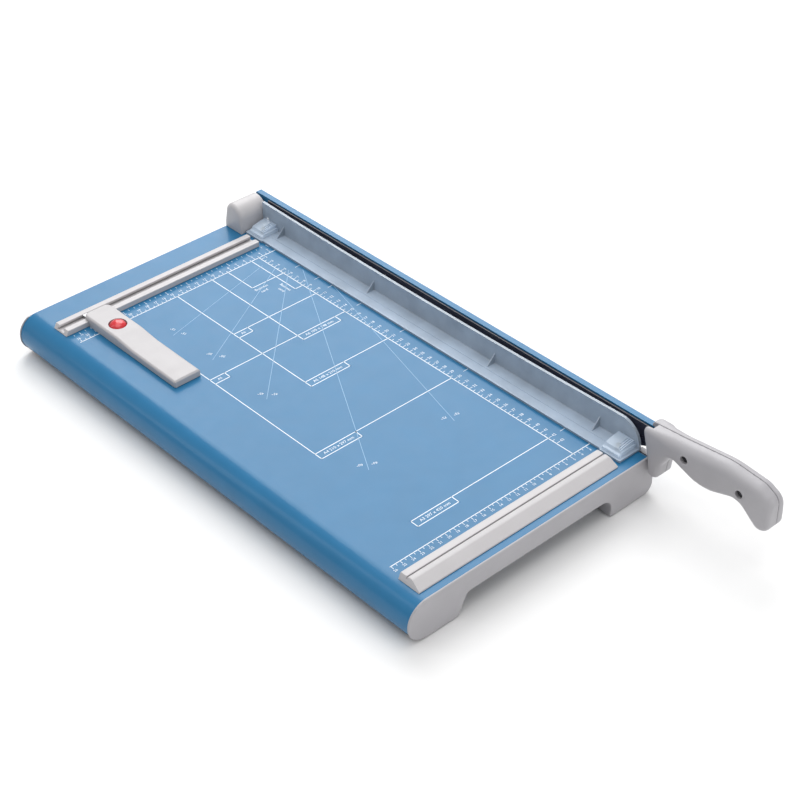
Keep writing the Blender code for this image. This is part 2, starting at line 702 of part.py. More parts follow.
def make_clamp_bar():
    """Clear L-section bar: a foot with wider ends, an upright wall and four gussets."""
    near, far = CLAMP_Y
    wall = [(far, CLAMP_FOOT_Z[0] - 0.2), (far, CLAMP_TOP)]
    for step in range(1, 12):
        share = step / 12
        wall.append((far + (near + 24 - far) * share, CLAMP_TOP - CLAMP_CROWN * 4 * share * (1 - share)))
    corner = rounded([(near + 24, CLAMP_TOP), (near, CLAMP_TOP, 22.0), (near, CLAMP_FOOT_Z[0] - 0.2)])
    bar = prism("clamp_bar", "YZ", *CLAMP_WALL_X, wall + corner)
    left = CLAMP_FOOT_LEFT
    foot = rounded([
        (CLAMP_WALL_X[1] - 0.9, near + 0.5), (CLAMP_WALL_X[1] - 0.9, far - 0.4), (left - 1.5, far - 0.4, 1.5),
        (left - 1.5, far - 26.0), (left, far - 27.0), (left, near + 25.0), (left - 1.5, near + 24.0),
        (left - 1.5, near + 0.5, 1.5)])
    holes = [circle((PIN_X, y), PIN_RADIUS + GAP) for y in PIN_Y]
    join(bar, prism("foot", "XY", *CLAMP_FOOT_Z, foot, *holes))
    for y in (-440.9, -309.4, -142.0, -4.5):
        web = [(-13.0, CLAMP_FOOT_Z[1] - 0.5), (-1.5, CLAMP_FOOT_Z[1] - 0.5), (-1.5, 14.0)]
        join(bar, prism("gusset", "XZ", y - 0.6, y + 0.6, web))
    hand_over(bar, clamp_lift, clear_plastic("clamp_clear"))


def make_clamp_blocks():
    """Stepped clear blocks that tie the bar to its guide pins."""
    low = CLAMP_FOOT_Z[1] + GAP
    right = CLAMP_WALL_X[0] - GAP
    left = CLAMP_FOOT_LEFT + 1.0
    profile = [(left, low), (right, low), (right, 10.8), (-8.0, 10.8), (-8.5, 9.8), (-18.5, 8.2),
               (-19.0, 6.8), (left, 6.0)]
    for name, y in (("clamp_block_front", PIN_Y[0]), ("clamp_block_rear", PIN_Y[1])):
        body = prism(name, "XZ", y - BLOCK_LENGTH / 2, y + BLOCK_LENGTH / 2, profile)
        cut(body, bore(PIN_RADIUS + GAP, (PIN_X, y, 0), 0, 15))
        hand_over(body, clamp_lift, clear_plastic(name))


def make_clamp_guides():
    """Guide pins that carry the clamp through the table, their bushes and the springs that press it down."""
    collar = -18.5
    pin = [(0, 8.3), (PIN_RADIUS - 0.4, 8.3), (PIN_RADIUS, 7.9), (PIN_RADIUS, collar), (5.5, collar),
           (5.5, collar - 2), (0, collar - 2)]
    places = [(PIN_X, y, 0) for y in PIN_Y]
    copies("clamp_pin", turned_mesh("clamp_pin", pin), places, clamp_lift, dark_steel("clamp_pin"))
    inner = PIN_RADIUS + GAP
    below = -SHEET - GAP
    bush = [(inner, -0.2), (4.0, -0.2), (4.0, below), (6.0, below), (6.0, below - 1.6), (inner, below - 1.6)]
    copies("clamp_bush", turned_mesh("clamp_bush", bush), places, datum, black_rubber("clamp_bush"))
    wire = 0.5
    for number, place in enumerate(places, 1):
        low, high = collar + wire + GAP, below - 1.6 - wire - GAP
        spring = coil(f"clamp_spring_{number}", place, 4.0, wire, low, high, 6)
        hand_over(spring, datum, bright_steel("clamp_spring"))


def coil(name, place, radius, wire, low, high, turns):
    """Compression spring about a vertical axis."""
    curve = bpy.data.curves.new(name, "CURVE")
    curve.dimensions = "3D"
    curve.bevel_depth = wire * MM
    curve.bevel_resolution = 1
    curve.use_fill_caps = True
    steps = 10 * turns
    spline = curve.splines.new("POLY")
    spline.points.add(steps)
    for step, point in enumerate(spline.points):
        turn = math.tau * step / 10
        height = low + (high - low) * step / steps
        x = place[0] + radius * math.cos(turn)
        y = place[1] + radius * math.sin(turn)
        point.co = (x * MM, y * MM, height * MM, 1)
    return settle(name, bpy.data.objects.new(name, curve))


# ---------------------------------------------------------------- backstop

def make_backstop_arm():
    """Moulded arm: a head over the rear rail, a long tongue on the table, hollow underneath."""
    low = 0.5
    outline = rounded([
        (STOP_FRONT, low), (-GAP - 0.2, low), (-GAP - 0.2, RAIL_TOP + GAP), (STOP_REAR, RAIL_TOP + GAP),
        (STOP_REAR, 9.6, 2.0), (-46.0, 10.2, 30.0), (-70.0, 7.6, 30.0), (STOP_FRONT, 7.0, 1.5)])
    arm = prism("backstop_arm", "YZ", *STOP_X, outline)
    wall = 2.0
    inside = (STOP_X[0] + wall, STOP_X[1] - wall)
    cut(arm, block("tongue_hollow", inside, (STOP_FRONT + wall, -3.0), (-2, 5.0)))
    cut(arm, block("head_hollow", inside, (-42.0, -3.0), (2, 7.8)))
    cut(arm, bore(BUTTON_RADIUS + GAP, (sum(STOP_X) / 2, BUTTON_Y, 0), 5, 15))
    hand_over(arm, stop_slide, light_plastic("backstop_arm"))
    lid = (STOP_FRONT + wall + GAP, -3.0 - GAP)
    base = block("backstop_base", (inside[0] + GAP, inside[1] - GAP), lid, (0.5, 1.5))
    hand_over(base, stop_slide, light_plastic("backstop_base"))


def make_backstop_slider():
    """T-shaped slider that holds the backstop in the rail's slot."""
    outline = [(5.5, 1.8), (15.3, 1.8), (15.3, 3.1), (13.6, 3.1), (13.6, 5.2), (7.2, 5.2),
               (7.2, 3.1), (5.5, 3.1)]
    slider = prism("backstop_slider", "YZ", STOP_X[0] + 3, STOP_X[1] - 3, outline)
    hand_over(slider, stop_slide, zinc("backstop_slider"))


def make_backstop_button():
    """Red domed release button with a flange below the arm's top, and its return spring."""
    middle = sum(STOP_X) / 2
    dome = [(0, 12.4), (3.0, 12.1), (5.6, 11.2), (7.3, 9.8), (BUTTON_RADIUS, 8.4), (BUTTON_RADIUS, 7.4),
            (9.4, 7.4), (9.4, 6.2), (2.5, 6.2), (2.5, 3.6), (0, 3.6)]
    button = turned("backstop_button", dome, (middle, BUTTON_Y, 0), steps=28)
    hand_over(button, button_press, red_plastic("button_red"))
    smooth(button)
    wire = 0.3
    spring = coil("backstop_spring", (middle, BUTTON_Y), 4.5, wire, 1.5 + GAP + wire, 6.2 - GAP - wire, 4)
    hand_over(spring, stop_slide, bright_steel("backstop_spring"))


# ---------------------------------------------------------------- assembly

def carrier(name, place, parent=None):
    """Empty on a joint's axis, which carries the pieces that move on it."""
    empty = bpy.data.objects.new(name, None)
    parts.objects.link(empty)
    empty.location = Vector(place) * MM
    bpy.context.view_layer.update()
    if parent:
        empty.parent = parent
        empty.matrix_parent_inverse = parent.matrix_world.inverted()
    bpy.context.view_layer.update()
    return empty


def stand_on_origin():
    """Move the datum so that the cutter's box is centred on the origin with its bottom at Z = 0."""
    graph = bpy.context.evaluated_depsgraph_get()
    corners = []
    for piece in parts.objects:
        if piece.type == "MESH":
            seen = piece.evaluated_get(graph)
            corners += [seen.matrix_world @ Vector(corner) for corner in seen.bound_box]
    low = Vector(min(corner[axis] for corner in corners) for axis in range(3))
    high = Vector(max(corner[axis] for corner in corners) for axis in range(3))
    datum.location = (-(low.x + high.x) / 2, -(low.y + high.y) / 2, -low.z)
    bpy.context.view_layer.update()
    print("datum", [round(value, 6) for value in datum.location], "size", [round(v, 6) for v in high - low])


clear_scene()
parts = new_collection("paper_cutter")
cutters = new_collection("cutters")
datum = carrier("table_datum", (0, 0, 0))
arm_pivot = carrier("arm_pivot", (WEB_X[0], PIVOT_Y, PIVOT_Z), datum)
clamp_lift = carrier("clamp_lift", (PIN_X, PIN_Y[0], 0), datum)
stop_slide = carrier("stop_slide", (sum(STOP_X) / 2, 10.4, RAIL_TOP), datum)
button_press = carrier("button_press", (sum(STOP_X) / 2, BUTTON_Y, 12.4), stop_slide)

make_table_top()
make_end_cap("front_end_cap", CAP_FRONT, 1)
make_end_cap("rear_end_cap", CAP_REAR, -1)
make_rubber_feet()
make_cross_braces()
make_rear_rail()
make_front_rail()
make_rail_screws()
make_lower_blade()
make_hinge_cover()
make_hinge_bracket()
make_pivot()
make_cutting_arm()
make_upper_blade()
make_blade_fasteners()
make_handle()
make_clamp_bar()
make_clamp_blocks()
make_clamp_guides()
make_backstop_arm()
make_backstop_slider()
make_backstop_button()
stand_on_origin()
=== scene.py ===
"""Finished pieces and materials for a guillotine paper cutter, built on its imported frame."""

import math

import bmesh
import bpy
from bpy.props import FloatProperty, FloatVectorProperty, PointerProperty
from mathutils import Matrix, Vector


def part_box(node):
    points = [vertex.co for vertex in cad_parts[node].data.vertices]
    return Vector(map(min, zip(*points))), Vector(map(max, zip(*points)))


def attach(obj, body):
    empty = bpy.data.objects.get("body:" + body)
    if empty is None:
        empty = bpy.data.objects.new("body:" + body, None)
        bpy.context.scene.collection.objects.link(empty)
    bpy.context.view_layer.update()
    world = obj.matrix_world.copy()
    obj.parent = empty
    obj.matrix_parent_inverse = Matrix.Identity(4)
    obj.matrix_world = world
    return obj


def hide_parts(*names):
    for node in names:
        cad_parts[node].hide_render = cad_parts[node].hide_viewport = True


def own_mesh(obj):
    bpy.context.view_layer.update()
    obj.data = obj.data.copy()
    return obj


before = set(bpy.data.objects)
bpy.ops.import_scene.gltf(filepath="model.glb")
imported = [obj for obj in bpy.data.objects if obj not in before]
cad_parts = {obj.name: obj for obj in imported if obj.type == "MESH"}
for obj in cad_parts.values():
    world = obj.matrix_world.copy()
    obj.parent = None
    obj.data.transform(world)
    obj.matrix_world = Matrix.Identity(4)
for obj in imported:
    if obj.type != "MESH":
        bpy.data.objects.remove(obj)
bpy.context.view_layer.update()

bl_info = {
    "name": "Guillotine paper cutter",
    "version": (1, 0, 0),
    "blender": (4, 5, 0),
    "location": "View3D > Sidebar > Cutter",
    "description": "Finished pieces and materials for a guillotine paper cutter with a clear guard",
    "category": "Object",
}

# Lengths are in millimetres from the table's datum. X = 0 is the sheet's right edge and grows towards the
# arm, Y = 0 is the front face of the rear rail and falls towards the handle, Z = 0 is the table's top.
MM = 0.001
SHEET_LOW, SHEET_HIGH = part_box("table_top")
RAIL_LOW, RAIL_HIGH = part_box("rear_rail")
DATUM = Vector((SHEET_HIGH.x, RAIL_LOW.y, SHEET_HIGH.z))
TO_WORLD = Matrix.Translation(DATUM) @ Matrix.Scale(MM, 4)


def table_box(node):
    """Lowest and highest corner of a frame node in millimetres from the table's datum."""
    low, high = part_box(node)
    return (low - DATUM) / MM, (high - DATUM) / MM


WELD = 0.002                              # points closer than this are one point
SHEET = 1.5                               # thickness of the table's sheet
SHEET_Y = (-497.0, 55.0)                  # front and rear ends of the sheet
ROLL = (-264.6, -20.0, 20.0)              # X, Z and radius of the rolled left edge
ROLL_TURN = math.radians(135.0)           # how far round the sheet is rolled
HEM = 12.0                                # width of the sheet's two inner lips
FLANGE = 30.0                             # height of the folded right side
FOLD = 2.0                                # radius of the right fold
CAP_FACES = (-499.0, 57.0)                # outer faces of the front and rear caps
CAP_DEPTH = 15.0
PIVOT = (44.4, 15.0)                      # Y and Z of the arm's hinge
STOP_X = (-241.0, -211.5)                 # left and right sides of the backstop
BUTTON = (-226.25, -27.8)                 # X and Y of the release button
PIN_X = -14.0                             # the guard's two guide pins
PIN_Y = (-474.0, 15.0)
PIN_HOLE = 2.8                            # radius of the hole for a pin in the guard
BUSH_HOLE = 4.3                           # radius of the hole for a pin's bush in the sheet
SPRING_STEPS = 28                         # steps in one turn of a spring


# ---------------------------------------------------------------- sizes and colours that can be changed

def length(name, description, default):
    return FloatProperty(name=name, description=description, default=default, min=0.0, unit="LENGTH")


def colour(name, description, default):
    return FloatVectorProperty(name=name, description=description, default=default, size=3, min=0.0, max=1.0,
                               subtype="COLOR")


class CutterSizes(bpy.types.PropertyGroup):
    """Sizes of the finished pieces."""
    print_height: length("Print height", "Thickness of the printing on the table", 0.00006)
    line_width: length("Line width", "Width of the main printed lines", 0.0009)
    fine_width: length("Fine line width", "Width of the angle lines and the ticks", 0.0005)
    rail_edge: length("Rail edge", "Rounding of the rails' long edges", 0.0006)
    cover_edge: length("Cover edge", "Rounding of the hinge cover's outer end", 0.0045)
    stop_edge: length("Backstop edge", "Rounding of the backstop's top edges", 0.0024)
    grip_left: length("Grip edge, left", "Rounding of the handle's left half", 0.0098)
    grip_right: length("Grip edge, right", "Rounding of the handle's right half", 0.0088)
    button_radius: length("Button radius", "Radius of the release button's dome", 0.0084)


class CutterColours(bpy.types.PropertyGroup):
    """Colours of the finished pieces."""
    paint: colour("Paint", "Blue powder coat of the table and the arm", (0.022, 0.158, 0.325))
    grey: colour("Grey plastic", "End caps and handle", (0.400, 0.392, 0.412))
    light: colour("Light plastic", "Rails, backstop and hinge cover", (0.500, 0.485, 0.495))
    clear: colour("Clear plastic", "Guard over the blade", (0.58, 0.68, 0.80))
    button: colour("Button", "Release button", (0.62, 0.030, 0.040))
    blade: colour("Blade", "Darkened flat of the upper blade", (0.024, 0.024, 0.042))
    ink: colour("Print", "Printing on the table", (0.74, 0.80, 0.86))
    fine_ink: colour("Fine print", "Angle lines on the table", (0.24, 0.42, 0.62))


def sizes():
    return bpy.context.scene.cutter_sizes


def colours():
    return bpy.context.scene.cutter_colours


# ---------------------------------------------------------------- materials

def link(tree, source, output, target, socket):
    """Join one node's output to another's input."""
    tree.links.new(source.outputs[output], target.inputs[socket])


def noise(tree, place, scale, detail=3.0, stretch=(1.0, 1.0, 1.0)):
    """Noise on object coordinates, stretched along an axis for a brushed or drawn surface."""
    mapping = tree.nodes.new("ShaderNodeMapping")
    mapping.inputs["Scale"].default_value = stretch
    link(tree, place, "Object", mapping, "Vector")
    texture = tree.nodes.new("ShaderNodeTexNoise")
    texture.inputs["Scale"].default_value = scale
    texture.inputs["Detail"].default_value = detail
    link(tree, mapping, "Vector", texture, "Vector")
    return texture


def spread(tree, source, low, high):
    """Stretch a noise's middle range onto low to high."""
    fit = tree.nodes.new("ShaderNodeMapRange")
    fit.inputs["From Min"].default_value = 0.3
    fit.inputs["From Max"].default_value = 0.7
    fit.inputs["To Min"].default_value = low
    fit.inputs["To Max"].default_value = high
    link(tree, source, "Fac", fit, "Value")
    return fit


def surface(name, base, roughness, metallic=0.0, grain=900.0, depth=0.02, mottle=0.05, even=0.06,
            stretch=(1.0, 1.0, 1.0), alpha=1.0, coat=0.0):
    """Principled surface with a fine relief, its depth in millimetres, and slow changes of shade and gloss."""
    material = bpy.data.materials.new(name)
    material.use_nodes = True
    tree = material.node_tree
    shader = tree.nodes["Principled BSDF"]
    shader.inputs["Metallic"].default_value = metallic
    shader.inputs["Alpha"].default_value = alpha
    shader.inputs["Coat Weight"].default_value = coat
    shader.inputs["Coat Roughness"].default_value = 0.14
    place = tree.nodes.new("ShaderNodeTexCoord")
    shade = tree.nodes.new("ShaderNodeMix")
    shade.data_type = "RGBA"
    shade.inputs["A"].default_value = (*[value * (1 - mottle) for value in base], 1.0)
    shade.inputs["B"].default_value = (*[min(value * (1 + mottle), 1.0) for value in base], 1.0)
    link(tree, spread(tree, noise(tree, place, 38.0), 0.0, 1.0), "Result", shade, "Factor")
    link(tree, shade, "Result", shader, "Base Color")
    gloss = noise(tree, place, 70.0, 4.0, stretch)
    link(tree, spread(tree, gloss, roughness - even, roughness + even), "Result", shader, "Roughness")
    relief = tree.nodes.new("ShaderNodeBump")
    relief.inputs["Strength"].default_value = 0.6
    relief.inputs["Distance"].default_value = depth * MM
    link(tree, noise(tree, place, grain, 2.0, stretch), "Fac", relief, "Height")
    link(tree, relief, "Normal", shader, "Normal")
    if alpha < 1.0:
        material.surface_render_method = "BLENDED"
    return material


def paint(name):
    """Powder coat with a thin glossy skin."""
    material = surface(name, colours().paint, 0.36, grain=1500.0, depth=0.03, mottle=0.03, even=0.04,
                       coat=0.22)
    material.node_tree.nodes["Principled BSDF"].inputs["Specular IOR Level"].default_value = 0.20
    return material


def grey_plastic(name):
    return surface(name, colours().grey, 0.42, grain=1900.0, depth=0.035, mottle=0.03, even=0.05)


def light_plastic(name, share=1.0):
    base = [value * share for value in colours().light]
    return surface(name, base, 0.40, grain=1700.0, depth=0.03, mottle=0.025, even=0.05)


def steel(name, base=(0.60, 0.61, 0.63), roughness=0.28, stretch=(1.0, 0.05, 1.0)):
    """Metal, ground along Y unless another stretch is given."""
    return surface(name, base, roughness, 1.0, 1400.0, 0.01, 0.05, 0.08, stretch)


def clear_plastic(name, alpha, share=1.0):
    """See-through plastic, a share as bright as the guard's colour."""
    base = [min(value * share, 1.0) for value in colours().clear]
    return surface(name, base, 0.14, grain=420.0, depth=0.012, mottle=0.10, even=0.05,
                   stretch=(1.0, 0.12, 1.0), alpha=alpha)


def ink(name, base):
    return surface(name, base, 0.5, grain=2200.0, depth=0.01, mottle=0.05, even=0.06)


def add_edge_tone(material, tone, axis, start, end):
    """Fade the base colour towards a tone where a coordinate passes from start to end, in metres."""
    tree = material.node_tree
    shader = tree.nodes["Principled BSDF"]
    before = shader.inputs["Base Color"].links[0].from_socket
    place = tree.nodes.new("ShaderNodeTexCoord")
    parts = tree.nodes.new("ShaderNodeSeparateXYZ")
    link(tree, place, "Object", parts, "Vector")
    ramp = tree.nodes.new("ShaderNodeMapRange")
    ramp.interpolation_type = "SMOOTHSTEP"
    ramp.inputs["From Min"].default_value = start
    ramp.inputs["From Max"].default_value = end
    link(tree, parts, axis, ramp, "Value")
    mix = tree.nodes.new("ShaderNodeMix")
    mix.data_type = "RGBA"
    mix.inputs["B"].default_value = (*tone, 1.0)
    tree.links.new(before, mix.inputs["A"])
    link(tree, ramp, "Result", mix, "Factor")
    link(tree, mix, "Result", shader, "Base Color")


# ---------------------------------------------------------------- shapes

# How two numbers lie in each plane, and the axis across it.
PLANES = {
    "XY": lambda a, b: (a, b, 0.0),
    "XZ": lambda a, b: (a, 0.0, b),
    "YZ": lambda a, b: (0.0, a, b),
}
AXIS_OF = {"XY": 2, "XZ": 1, "YZ": 0}


def outline(shape, plane, corners, segments=8):
    """Flat face with the given corners (a, b) or (a, b, radius); a corner with a radius is rounded."""
    lift = PLANES[plane]
    points = [shape.verts.new(lift(*corner[:2])) for corner in corners]
    shape.faces.new(points)
    places = [point.co.copy() for point in points]
    for index, corner in enumerate(corners):
        if len(corner) < 3:
            continue
        before = places[index - 1] - places[index]
        after = places[(index + 1) % len(places)] - places[index]
        reach = corner[2] / math.tan(before.angle(after) / 2)
        steps = max(2, round(segments * (math.pi - before.angle(after)) / 1.57))
        bmesh.ops.bevel(shape, geom=[points[index]], offset=reach, offset_type="OFFSET", segments=steps,
                        profile=0.5, affect="VERTICES", material=-1)
    bmesh.ops.remove_doubles(shape, verts=shape.verts, dist=WELD)


def extrude(shape, plane, low, high):
    """Solid between two heights from the flat faces of an otherwise empty mesh."""
    axis = AXIS_OF[plane]
    lift = Vector((0.0, 0.0, 0.0))
    lift[axis] = low
    bmesh.ops.translate(shape, verts=shape.verts, vec=lift)
    lift[axis] = high - low
    result = bmesh.ops.extrude_face_region(shape, geom=shape.faces[:])
    moved = [item for item in result["geom"] if isinstance(item, bmesh.types.BMVert)]
    bmesh.ops.translate(shape, verts=moved, vec=lift)
    bmesh.ops.recalc_face_normals(shape, faces=shape.faces)


def solid(plane, low, high, corners, segments=8):
    """Straight bar with an outline in a plane, between two heights across it."""
    shape = bmesh.new()
    outline(shape, plane, corners, segments)
    extrude(shape, plane, low, high)
    return shape


def soften(shape, width, segments, chosen, upright=False):
    """Round the corner edges, or only the upright ones, whose two ends both pass a test."""
    edges = []
    for edge in shape.edges:
        along = edge.verts[0].co - edge.verts[1].co
        steep = abs(along.z) > 0.8 * along.length
        corner = edge.calc_face_angle(0.0) > 0.6
        if corner and (steep or not upright) and all(chosen(vert.co) for vert in edge.verts):
            edges.append(edge)
    if edges:
        bmesh.ops.bevel(shape, geom=edges, offset=width, offset_type="OFFSET", segments=segments, profile=0.5,
                        affect="EDGES", clamp_overlap=False, material=-1)
        bmesh.ops.remove_doubles(shape, verts=shape.verts, dist=WELD)


def gather(shapes):
    """One mesh from several, which are freed."""
    whole = bmesh.new()
    for shape in shapes:
        mesh = bpy.data.meshes.new("part")
        shape.to_mesh(mesh)
        shape.free()
        whole.from_mesh(mesh)
        bpy.data.meshes.remove(mesh)
    return whole


def block(low, high):
    """Box between two corners."""
    shape = bmesh.new()
    size = Vector(high) - Vector(low)
    middle = (Vector(high) + Vector(low)) / 2
    bmesh.ops.create_cube(shape, size=1.0, matrix=Matrix.Translation(middle) @ Matrix.Diagonal((*size, 1.0)))
    return shape


def rod(radius, place, low, high, axis="Z", segments=40):
    """Round bar along X or Z."""
    turn = {"X": Matrix.Rotation(math.radians(90), 4, "Y"), "Z": Matrix.Identity(4)}[axis]
    middle = Vector(place)
    middle["XYZ".index(axis)] = (low + high) / 2
    shape = bmesh.new()
    bmesh.ops.create_cone(shape, cap_ends=True, segments=segments, radius1=radius, radius2=radius,
                          depth=high - low, matrix=Matrix.Translation(middle) @ turn)
    return shape


def new_object(name, shape):
    """Object from a bmesh, which is freed."""
    mesh = bpy.data.meshes.new(name)
    shape.to_mesh(mesh)
    shape.free()
    made = bpy.data.objects.new(name, mesh)
    bpy.context.scene.collection.objects.link(made)
    return made


def applied(holder):
    """Bmesh of an object with its modifiers applied; the object is removed."""
    graph = bpy.context.evaluated_depsgraph_get()
    result = bmesh.new()
    result.from_mesh(holder.evaluated_get(graph).to_mesh())
    bpy.data.objects.remove(holder, do_unlink=True)
    return result


def combine(shape, tool, operation="DIFFERENCE"):
    """Mesh after a boolean with a tool, both still in millimetres."""
    target = new_object("target", shape)
    other = new_object("tool", tool)
    change = target.modifiers.new("change", "BOOLEAN")
    change.operation = operation
    change.solver = "EXACT"
    change.object = other
    result = applied(target)
    bpy.data.objects.remove(other, do_unlink=True)
    bmesh.ops.remove_doubles(result, verts=result.verts, dist=WELD)
    if not result.faces:
        raise RuntimeError("a boolean left nothing")
    return result


def piece(name, shape, materials, body, nodes=(), sharp=32.0):
    """Finished piece: placed in the world, smooth but for its sharp edges, riding on a body."""
    bmesh.ops.recalc_face_normals(shape, faces=shape.faces)
    for face in shape.faces:
        face.smooth = True
    for edge in shape.edges:
        edge.smooth = len(edge.link_faces) == 2 and edge.calc_face_angle(0.0) < math.radians(sharp)
    made = new_object(name, shape)
    made.data.transform(TO_WORLD)
    for material in materials:
        made.data.materials.append(material)
    weigh = made.modifiers.new("even_normals", "WEIGHTED_NORMAL")
    weigh.keep_sharp = True
    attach(made, body)
    if nodes:
        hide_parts(*nodes)
    return made


# ---------------------------------------------------------------- table

def sheet_ribbon(outwards, inwards, low, high):
    """Bent sheet from low to high in Y, from a distance outside its top surface to a distance inside it."""
    shape = bmesh.new()
    roll_x, roll_z, roll_radius = ROLL
    top = shape.verts.new((roll_x, 0.0, outwards))
    turned = bmesh.ops.spin(shape, geom=[top], cent=(roll_x, 0.0, roll_z), axis=(0.0, 1.0, 0.0),
                            angle=-ROLL_TURN, steps=30)
    roll_end = [item for item in turned["geom_last"] if isinstance(item, bmesh.types.BMVert)][0]
    lip = shape.verts.new(roll_end.co + Vector((HEM, 0.0, 0.0)))
    shape.edges.new((roll_end, lip))
    fold = shape.verts.new((-FOLD, 0.0, outwards))
    shape.edges.new((top, fold))
    turned = bmesh.ops.spin(shape, geom=[fold], cent=(-FOLD, 0.0, -FOLD), axis=(0.0, 1.0, 0.0),
                            angle=math.radians(90.0), steps=8)
    fold_end = [item for item in turned["geom_last"] if isinstance(item, bmesh.types.BMVert)][0]
    foot = shape.verts.new((outwards, 0.0, -FLANGE - outwards))
    shape.edges.new((fold_end, foot))
    hem = shape.verts.new((-HEM, 0.0, -FLANGE - outwards))
    shape.edges.new((foot, hem))
    bmesh.ops.translate(shape, verts=shape.verts, vec=(0.0, low, 0.0))
    result = bmesh.ops.extrude_edge_only(shape, edges=shape.edges[:])
    moved = [item for item in result["geom"] if isinstance(item, bmesh.types.BMVert)]
    bmesh.ops.translate(shape, verts=moved, vec=(0.0, high - low, 0.0))
    bmesh.ops.recalc_face_normals(shape, faces=shape.faces)
    flat = max(shape.faces, key=lambda face: face.calc_area())
    if flat.normal.z < 0:
        bmesh.ops.reverse_faces(shape, faces=shape.faces)
    bmesh.ops.solidify(shape, geom=shape.faces[:], thickness=outwards + inwards)
    bmesh.ops.recalc_face_normals(shape, faces=shape.faces)
    return shape


def make_table_top():
    """Bent sheet with a hole for each of the guard's bushes."""
    shape = sheet_ribbon(0.0, SHEET, *SHEET_Y)
    holes = [rod(BUSH_HOLE, (PIN_X, y, 0), -5, 5) for y in PIN_Y]
    shape = combine(shape, gather(holes))
    piece("table_sheet", shape, [paint("table_paint")], "table", ["table_top"])


# ---------------------------------------------------------------- printing

class Print:
    """Printing on the table, gathered as thin boxes and letters that stand a hair above the paint."""

    def __init__(self):
        self.shapes = bmesh.new()
        self.height = sizes().print_height / MM

    def line(self, start, end, width):
        """Straight line with square ends."""
        start = Vector((*start, 0.0))
        end = Vector((*end, 0.0))
        along = end - start
        turn = Matrix.Rotation(math.atan2(along.y, along.x), 4, "Z")
        middle = (start + end) / 2 + Vector((0.0, 0.0, self.height / 2))
        size = Matrix.Diagonal((along.length + width, width, self.height, 1.0))
        bmesh.ops.create_cube(self.shapes, size=1.0, matrix=Matrix.Translation(middle) @ turn @ size)

    def path(self, points, width):
        """Lines from each point to the next."""
        for start, end in zip(points, points[1:]):
            self.line(start, end, width)

    def words(self, text, place, size, angle=0.0, align="CENTER"):
        """Letters of a size, turned about the place they stand on."""
        curve = bpy.data.curves.new("words", "FONT")
        curve.body = text
        curve.size = size
        curve.align_x = align
        curve.align_y = "CENTER"
        curve.resolution_u = 2
        curve.extrude = self.height / 2
        holder = bpy.data.objects.new("words", curve)
        bpy.context.scene.collection.objects.link(holder)
        graph = bpy.context.evaluated_depsgraph_get()
        mesh = bpy.data.meshes.new_from_object(holder.evaluated_get(graph))
        mesh.transform(Matrix.Translation((*place, self.height / 2)) @ Matrix.Rotation(angle, 4, "Z"))
        self.shapes.from_mesh(mesh)
        bpy.data.meshes.remove(mesh)
        bpy.data.objects.remove(holder, do_unlink=True)
        bpy.data.curves.remove(curve)

    def done(self, name, material):
        """Hand the printing over as one piece on the table."""
        bmesh.ops.remove_doubles(self.shapes, verts=self.shapes.verts, dist=0.001)
        piece(name, self.shapes, [material], "table")


RULE_X = -45.4          # line beside the guard, where every format starts
RULE_Y = -16.4          # line along the rear rail
RULE_FRONT = -450.0     # line along the front rail
QUARTER_INCH = 6.35
# Left edge, front end of the label's frame, front edge and label of each paper format.
FORMATS = [(-210.0, -306.0, -297.0, "A4 210 x 297 mm"), (-148.0, -219.0, -210.0, "A5 148 x 210 mm"),
           (-105.0, -157.0, -148.0, "A6 105 x 148 mm")]


def print_formats(sheet, width):
    """Corners of the paper formats and of a business card, with their labels."""
    for left, low, rule, label in FORMATS:
        sheet.path([(left, RULE_Y), (left, low), (left + 47.0, low), (left + 47.0, rule)], width)
        sheet.line((left, rule), (RULE_X, rule), width)
        sheet.words(label, (left + 23.5, rule - 4.6), 4.7)
    sheet.line((-210.0, -148.0), (-105.0, -148.0), width)
    sheet.line((-148.0, -105.0), (RULE_X, -105.0), width)
    for left, rule, label in ((-210.0, -148.0, "A5"), (-148.0, -105.0, "A6")):
        sheet.path([(left, rule - 8.2), (left + 17.0, rule - 8.2), (left + 17.0, rule)], width)
        sheet.words(label, (left + 8.5, rule - 4.2), 4.2)
    sheet.path([(-210.0, -420.0), (-210.0, -429.0), (-163.0, -429.0), (-163.0, -420.0)], width)
    sheet.line((-210.0, -420.0), (RULE_X, -420.0), width)
    sheet.words("A3 297 x 420 mm", (-186.5, -424.6), 4.7)
    sheet.path([(-85.0, RULE_Y), (-85.0, -55.0), (RULE_X, -55.0)], width)
    sheet.path([(-55.0, RULE_Y), (-55.0, -85.0), (RULE_X, -85.0)], width)
    sheet.words("Business", (-78.0, -60.5), 4.6)
    sheet.words("card", (-79.0, -66.5), 4.6)
    sheet.words("Business", (-60.0, -76.0), 4.6, math.radians(-90))
    sheet.words("card", (-66.0, -77.0), 4.6, math.radians(-90))


